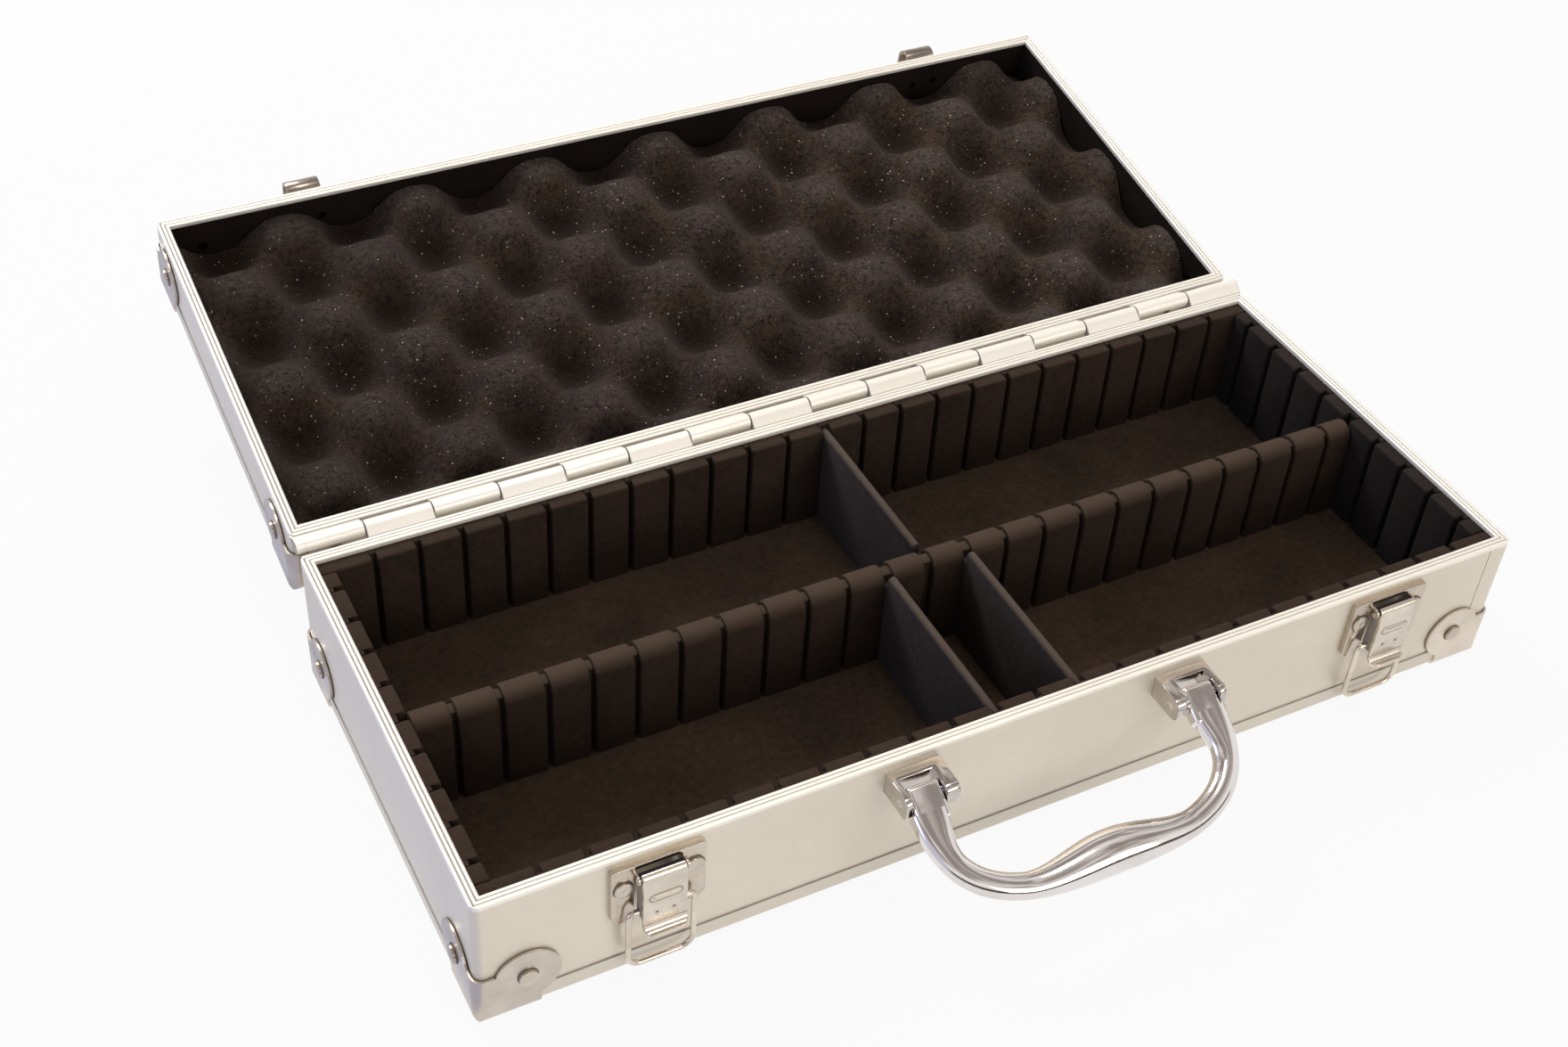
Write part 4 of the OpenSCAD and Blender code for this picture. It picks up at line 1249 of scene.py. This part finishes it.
@dataclass
class DrawLever:
    """A latch's pressed lever: a rolled top, a face with a stamped bead and marks, a lip, cheeks.

    The bead and the marks have the height and the place across of their middles, their radius
    and how far they are pressed.
    """

    side: str
    middle_x: float
    wall_y: float = -83.0
    pin: Pair = (4.4, 48.1)
    roll_inside: float = 1.9
    roll: float = 2.5
    roll_below: float = 0.6
    face_out: float = 7.4
    step_z: float = 43.5
    lip_z: float = 28.3
    lip: float = 2.2
    sheet: float = 1.0
    width: float = 14.9
    corner: float = 3.0
    edge_run: float = 0.35
    edge_fall: float = 0.2
    bead: tuple[float, float, float, float] = (40.6, 3.9, 1.05, 0.75)
    marks: tuple[float, float, float, float] = (33.2, 2.9, 0.6, 0.4)
    pivot: Pair = (4.4, 32.5)
    cheek: float = 2.3
    cheek_back: float = 2.8
    cheek_below: float = 1.0
    cheek_overlap: float = 0.3
    cheek_inset: float = 0.04
    columns: int = 64
    row_step: float = 0.22

    def path(self) -> list[Point]:
        """The outer face's line, from inside the roll to the lip.

        Returns:
            Distance from the wall, height and shade of each point.
        """
        top = (self.pin[0] + self.roll, self.pin[1] - self.roll_below)
        step, foot = (self.face_out, self.step_z), (self.face_out, self.lip_z)
        rows = int((self.step_z - self.lip_z) / self.row_step)
        inside = arc(self.pin, self.roll_inside, 230.0, 78.0, 19)
        shown = [*arc(self.pin, self.roll, 74.0, 8.0, 11), *run(top, step, 8),
                 *run(step, foot, rows)[1:],
                 *arc((self.face_out + self.lip, self.lip_z), self.lip, 188.0, 290.0, 17)]
        # The roll's inside gets shade 1: painted shade for its dark hollow.
        return [(*point, 1.0) for point in inside] + [(*point, 0.0) for point in shown]

    def offsets(self, x: float, z: float) -> Pair:
        """How far a point of the face lies from the bead and from a mark.

        Args:
            x: its place across the lever.
            z: its height.

        Returns:
            Both distances, as shares of the bead's and the mark's radius.
        """
        (bead_z, bead_half, bead_r, _), (mark_z, mark_x, mark_r, _) = self.bead, self.marks
        return (math.hypot(max(0.0, abs(x) - bead_half), z - bead_z) / bead_r,
                math.hypot(abs(x) - mark_x, z - mark_z) / mark_r)

    def relief(self, x: float, z: float) -> float:
        """How far the stamping stands out of the face at a place across and a height."""
        bead, mark = self.offsets(x, z)
        return self.bead[3] * math.exp(-bead ** 2) - self.marks[3] * math.exp(-mark ** 2)

    def dirt_and_shade(self, x: float, z: float) -> float:
        """Painted shade, with some dirt, round the bead, in the marks and in the crease above the
        lip.

        Args:
            x: a place across the lever.
            z: a height.

        Returns:
            How dark the face is there, from 0 to 1.
        """
        bead, mark = self.offsets(x, z)
        spots = (0.5, (bead - 1.55) / 0.38), (0.8, mark), (0.5, (z - self.lip_z - 0.2) / 0.35)
        return min(1.0, sum(dark * math.exp(-off ** 2) for dark, off in spots))

    def place(self, x: float, out: float, z: float) -> Vector:
        """A point of the lever in the row frame, in metres."""
        return Vector((self.middle_x + x, self.wall_y - out, z)) * MM

    def skin(self, depth: float) -> tuple[list[list[Vector]], list[float]]:
        """One skin of the rolled and pressed sheet.

        Args:
            depth: how far it lies under the outer face.

        Returns:
            Its rows of points, and the shade of each point.
        """
        line = self.path()
        legs = [0.0, *(math.dist(here[:2], last[:2]) for last, here in zip(line, line[1:]))]
        length = list(np.cumsum(legs))
        rows, shade = [], []
        for i, (out, z, tone) in enumerate(line):
            before, after = line[max(0, i - 1)], line[min(len(line) - 1, i + 1)]
            ahead = math.dist(after[:2], before[:2])
            normal = (-(after[1] - before[1]) / ahead, (after[0] - before[0]) / ahead)
            into = max(0.0, self.corner - (length[-1] - length[i]))
            half = self.width / 2 - self.corner + math.sqrt(max(0.0, self.corner ** 2 - into ** 2))
            pressed = tone == 0.0 and z < self.step_z + 0.5
            row = []
            for x in (half * (2 * k / self.columns - 1) for k in range(self.columns + 1)):
                edge = max(0.0, abs(x) - half + self.edge_run) / self.edge_run
                rise = (self.relief(x, z) if pressed else 0.0) - self.edge_fall * edge ** 2 - depth
                row.append(self.place(x, out + normal[0] * rise, z + normal[1] * rise))
                shade.append(self.dirt_and_shade(x, z) if pressed else tone)
            rows.append(row)
        return rows, shade

    def mesh(self) -> bpy.types.Mesh:
        """The sheet and the two cheeks that carry the bail, as one mesh.

        Returns:
            The mesh, in place at rest.
        """
        work = bmesh.new()
        shade: list[float] = []
        skins = []
        for depth in (0.0, self.sheet):
            rows, tones = self.skin(depth)
            skins.append([[work.verts.new(point) for point in row] for row in rows])
            shade += tones
        front, back = skins
        for rows in skins:
            for low, high in zip(rows, rows[1:]):
                strip(work, low, high)
        for end in (0, -1):
            strip(work, [row[end] for row in front], [row[end] for row in back])
            strip(work, front[end], back[end])
        inner = self.face_out - self.sheet + self.cheek_overlap
        top = self.pin[1] - self.cheek_below
        outline = [(self.cheek_back, top), (inner, top), (inner, self.pivot[1] - self.cheek),
                   *arc(self.pivot, self.cheek, 270.0, 180.0, 9)]
        # Each cheek gets shade 0.5: painted shade in the gap beside the lever.
        for sign in (-1, 1):
            loft(work, ([self.place(sign * (self.width / 2 - inset), out, z) for out, z in outline]
                        for inset in (self.sheet, self.cheek_inset)))
            shade += [0.5] * 2 * len(outline)
        mesh = closed(work, f"lever_{self.side}_pressed")
        keep(mesh, "shade", shade)
        return mesh

    def build(self) -> None:
        """Build the lever in place of its CAD node."""
        node = f"lever_{self.side}"
        stand_in(node + "_pressed", node, self.mesh(), node, LEVER_NICKEL)


@dataclass
class Fittings:
    """The latches, their strikes, and the hinge's pin."""

    sides: tuple[tuple[str, int], ...] = (("left", -1), ("right", 1))
    shift: float = 1.7
    latch_x: float = 142.0
    rounding: float = 0.28 * MM

    def build(self) -> None:
        """Build the levers and rivet heads, round the plates' edges, and dress the rest."""
        for side, sign in self.sides:
            round_off(f"latch_plate_{side}", self.rounding, "base", PLATE_NICKEL)
            round_off(f"strike_{side}", self.rounding, "lid", SHADED_NICKEL)
            DrawLever(side, self.shift + sign * self.latch_x).build()
            dress(f"bail_{side}", NICKEL)
            dress(f"lever_pin_{side}", NICKEL)
        RivetHeads("latch_rivets", "base").build()
        RivetHeads("strike_rivets", "lid").build()
        dress("hinge_pin", NICKEL)


@dataclass
class CarryHandle:
    """The cast handle with its two brackets and pins."""

    sides: tuple[str, ...] = ("left", "right")
    rounding: float = 0.45 * MM
    middle: Point = (1.7, -93.0, 46.2)
    lifted: float = 62.0
    half: float = 53.3
    arm_out: float = 7.5
    reach: float = 45.0
    start: float = 5.6
    power: float = 3.0
    arm: Pair = (9.0, 7.4)
    grip: Pair = (15.2, 13.5)
    root: Pair = (12.8, 7.8)
    grip_half: float = 34.0
    root_run: float = 28.0
    corner_push: float = 0.3
    eye: Point = (12.0, 6.0, 13.6)
    eye_top: float = 4.0
    eye_rounding: float = 1.6
    steps: int = 180
    around: int = 56
    nudge: float = 0.004

    def edge(self, angle: float) -> np.ndarray:
        """A point of the outer edge.

        Args:
            angle: its angle from the right-hand pivot.

        Returns:
            Millimetres to the right and down, with the handle hanging down.
        """
        across = abs(math.cos(angle)) / (self.half + self.arm_out)
        along = abs(math.sin(angle)) / self.reach
        size = (across ** self.power + along ** self.power) ** (-1 / self.power)
        return size * np.array([math.cos(angle), math.sin(angle)])

    def root_share(self, y: float) -> float:
        """A share that falls from 1 at an arm's top to 0 a little way down it."""
        share = min(1.0, max(0.0, y - self.start) / (self.root_run - self.start))
        return (1 + math.cos(math.pi * share)) / 2

    def section(self, point: np.ndarray, which: int) -> float:
        """The bow's width or thickness.

        Args:
            point: where on the outer edge.
            which: 0 for the width, 1 for the thickness.

        Returns:
            Its size, in millimetres.
        """
        away = min(1.0, abs(point[0]) / self.grip_half)
        gripped = (1 + math.cos(math.pi * away)) / 2
        base = self.arm[which]
        return (base + (self.grip[which] - base) * gripped ** 0.75
                + (self.root[which] - base) * self.root_share(point[1]))

    def ring(self, angle: float, is_end: bool) -> list[Point]:
        """One ring of the bow's skin.

        Args:
            angle: its place on the outer edge.
            is_end: whether it closes an arm's top.

        Returns:
            The ring's points, in millimetres, with the handle hanging down.
        """
        edge = self.edge(angle)
        ahead = self.edge(angle + self.nudge) - self.edge(angle - self.nudge)
        inward = np.array([-ahead[1], ahead[0]]) / np.linalg.norm(ahead)
        width, thick = self.section(edge, 0), self.section(edge, 1)
        middle = edge + inward * width / 2
        flatter = 1 - self.corner_push * self.root_share(edge[1])
        points = []
        for turn in (2 * math.pi * k / self.around for k in range(self.around)):
            across, through = (math.copysign(abs(c) ** flatter, c)
                               for c in (math.cos(turn), math.sin(turn)))
            point = middle - inward * width / 2 * across
            down = self.start if is_end else max(self.start, point[1])
            points.append((point[0], thick / 2 * through, -down))
        return points

    def bow(self) -> bpy.types.Mesh:
        """The bow and its two eyes.

        Returns:
            Their mesh, in place at rest.
        """
        work = bmesh.new()
        begin = math.atan(self.start / (self.half + self.arm_out))
        turn = (math.pi - 2 * begin) / self.steps
        loft(work, (self.ring(begin + turn * i, i in (0, self.steps))
                    for i in range(self.steps + 1)))
        for side in (-1, 1):
            middle = (side * self.half, 0.0, self.eye_top - self.eye[2] / 2)
            block(work, self.eye, middle, self.eye_rounding, 5)
        tilt = Matrix.Rotation(math.radians(-self.lifted), 4, "X")
        place = Matrix.Translation(Vector(self.middle) * MM) @ tilt
        bmesh.ops.transform(work, matrix=place @ Matrix.Scale(MM, 4), verts=work.verts)
        return closed(work, "handle_bow")

    def build(self) -> None:
        """Build the bow, round the brackets' edges, and dress the pins."""
        for side in self.sides:
            bracket = f"handle_bracket_{side}"
            round_off(bracket, self.rounding, "base", BRACKET_CHROME)
            dress(f"handle_pin_{side}", CHROME)
        stand_in("handle_bow", "handle", self.bow(), "handle", CHROME)


@dataclass(frozen=True)
class Lamp:
    """A soft rectangular lamp, with its place and size in metres and its power in watts."""

    name: str
    place: Point
    size: Pair
    power: float
    colour: Colour
    target: Point = (0.0, 0.08, 0.04)

    def hang(self) -> None:
        """Hang the lamp so that it looks at the case."""
        data = bpy.data.lights.new(self.name, "AREA")
        data.shape = "RECTANGLE"
        data.size, data.size_y = self.size
        data.energy, data.color = self.power, self.colour
        lamp = placed(self.name, data)
        lamp.location = self.place
        way = Vector(self.target) - Vector(self.place)
        lamp.rotation_euler = way.to_track_quat("-Z", "Y").to_euler()


@dataclass(frozen=True)
class Reflector:
    """A board that only reflections show, as a studio's walls and ceiling are in metal.

    Its corners are in metres. Its colour is plain, or has clouds of a paler one.
    """

    name: str
    corners: tuple[Point, Point, Point, Point]
    colour: Colour
    pale: Optional[Colour] = None

    def stand(self) -> None:
        """Stand the board in the studio."""
        mesh = bpy.data.meshes.new(self.name)
        mesh.from_pydata(self.corners, [], [(0, 1, 2, 3)])
        material = bpy.data.materials.new(self.name)
        graph = Graph(material)
        shown: Union[Sock, Colour] = self.colour
        if self.pale is not None:
            clouds = graph.ranged(graph.noise(1.2, 4.0, 0.6), 0.44, 0.6)
            shown = graph.mixed(clouds, self.colour, self.pale)
        graph.show(graph.glow(shown))
        mesh.materials.append(material)
        board = placed(self.name, mesh)
        board.visible_camera = board.visible_diffuse = False
        board.visible_shadow = board.visible_transmission = False


@dataclass
class Studio:
    """The camera, lamps, floor and surroundings."""

    focal_px: float = 2351.02
    image_width: float = 1760.0
    sensor: float = 36.0
    eye: Point = (-313.81, -450.89, 553.58)
    right: Point = (0.88997681, -0.45292884, 0.0528842)
    down: Point = (-0.26822268, -0.61374112, -0.7425486)
    ahead: Point = (0.36877889, 0.64666629, -0.66770116)
    ambient: float = 0.5
    white: Colour = (1.0, 1.0, 1.0)
    floor_grey: Colour = (0.55, 0.55, 0.55)
    floor_glow: float = 0.92
    floor_half: float = 6.0
    floor_z: float = -0.0004
    reflectors: tuple[Reflector, ...] = (
        Reflector("ceiling", ((-3, -3, 2.2), (3, -3, 2.2), (3, 3, 2.2), (-3, 3, 2.2)),
                  (0.33, 0.29, 0.27), (0.9, 0.87, 0.85)),
        Reflector("left_wall", ((-2.2, -2, 0), (-2.2, 2, 0), (-2.2, 2, 1.6), (-2.2, -2, 1.6)),
                  (0.66, 0.65, 0.78)),
        Reflector("left_floor", ((-2.5, -0.6, 0), (-0.204, -0.6, 0), (-0.204, 1.2, 0),
                                 (-2.5, 1.2, 0)), (0.64, 0.66, 0.82)),
        Reflector("front_skirting", ((-3, -1.8, 0), (3, -1.8, 0), (3, -1.8, 0.5), (-3, -1.8, 0.5)),
                  (0.07, 0.05, 0.04)))
    lamps: tuple[Lamp, ...] = (
        Lamp("key", (-0.35, 1.25, 1.3), (0.7, 0.5), 20.0, (1.0, 0.985, 0.96)),
        Lamp("top", (0.15, -0.1, 1.7), (0.5, 0.35), 5.0, (1.0, 0.98, 0.95)),
        Lamp("left_fill", (-1.4, 0.0, 0.45), (0.8, 0.6), 4.0, (0.42, 0.56, 1.0)),
        Lamp("front_fill", (0.5, -1.5, 0.6), (1.0, 0.6), 8.5, (1.0, 0.95, 0.88)))

    def camera(self) -> None:
        """Stand the camera where the photograph was taken."""
        data = bpy.data.cameras.new("camera")
        data.sensor_width = self.sensor
        data.lens = self.focal_px * self.sensor / self.image_width
        data.clip_start, data.clip_end = 0.01, 50.0
        camera = placed("camera", data)
        axes = Matrix((self.right, [-v for v in self.down], [-v for v in self.ahead])).transposed()
        camera.matrix_world = Matrix.Translation(Vector(self.eye) * MM) @ axes.to_4x4()
        bpy.context.scene.camera = camera

    @staticmethod
    def seen_directly(graph: Graph) -> Sock:
        """1 for rays of the camera, a reflection or glass, and 0 for the light on things.

        Args:
            graph: the graph that reads it.

        Returns:
            The value.
        """
        path = graph.add("ShaderNodeLightPath")
        total = path["Is Camera Ray"] + path["Is Glossy Ray"] + path["Is Transmission Ray"]
        return total.upto(1.0)

    def surroundings(self) -> None:
        """Make the world white to look at, and plain to light by."""
        world = bpy.data.worlds.new("studio")
        bpy.context.scene.world = world
        graph = Graph(world)
        strength = self.ambient + (1.0 - self.ambient) * self.seen_directly(graph)
        light = graph.add("ShaderNodeBackground", None, {"Color": self.white, "Strength": strength})
        graph.show(light["Background"], "ShaderNodeOutputWorld")

    def floor(self) -> None:
        """Lay a plain white floor that keeps a soft shadow."""
        work = bmesh.new()
        bmesh.ops.create_grid(work, x_segments=8, y_segments=8, size=self.floor_half)
        mesh = bpy.data.meshes.new("floor")
        work.to_mesh(mesh)
        work.free()
        material = bpy.data.materials.new("floor_white")
        graph = Graph(material)
        lit = graph.add("ShaderNodeBsdfDiffuse", None, {"Color": self.floor_grey})["BSDF"]
        share = self.seen_directly(graph) * self.floor_glow
        both = graph.add("ShaderNodeMixShader", None, {0: share, 1: lit, 2: graph.glow(self.white)})
        graph.show(both["Shader"])
        mesh.materials.append(material)
        floor = placed("floor", mesh)
        floor.location = (0.0, 0.0, self.floor_z)

    def build(self) -> None:
        """Set the studio up."""
        bpy.context.scene.view_settings.view_transform = "Standard"
        self.camera()
        self.surroundings()
        self.floor()
        for reflector in self.reflectors:
            reflector.stand()
        for lamp in self.lamps:
            lamp.hang()


def main() -> None:
    """Build the scene, piece by piece."""
    logging.basicConfig(level=logging.INFO, format="%(name)s: %(message)s")
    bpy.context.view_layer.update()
    Studio().build()
    EggCrateBlock().build()
    ShellHalf("base", "bottom", RIM, EDGE, "front_right").build()
    ShellHalf("lid", "top", LID_RIM, LID_EDGE).build()
    dress("lid_lining", LINING)
    Tray().build()
    Fittings().build()
    CarryHandle().build()


if __name__ == "__main__":
    main()
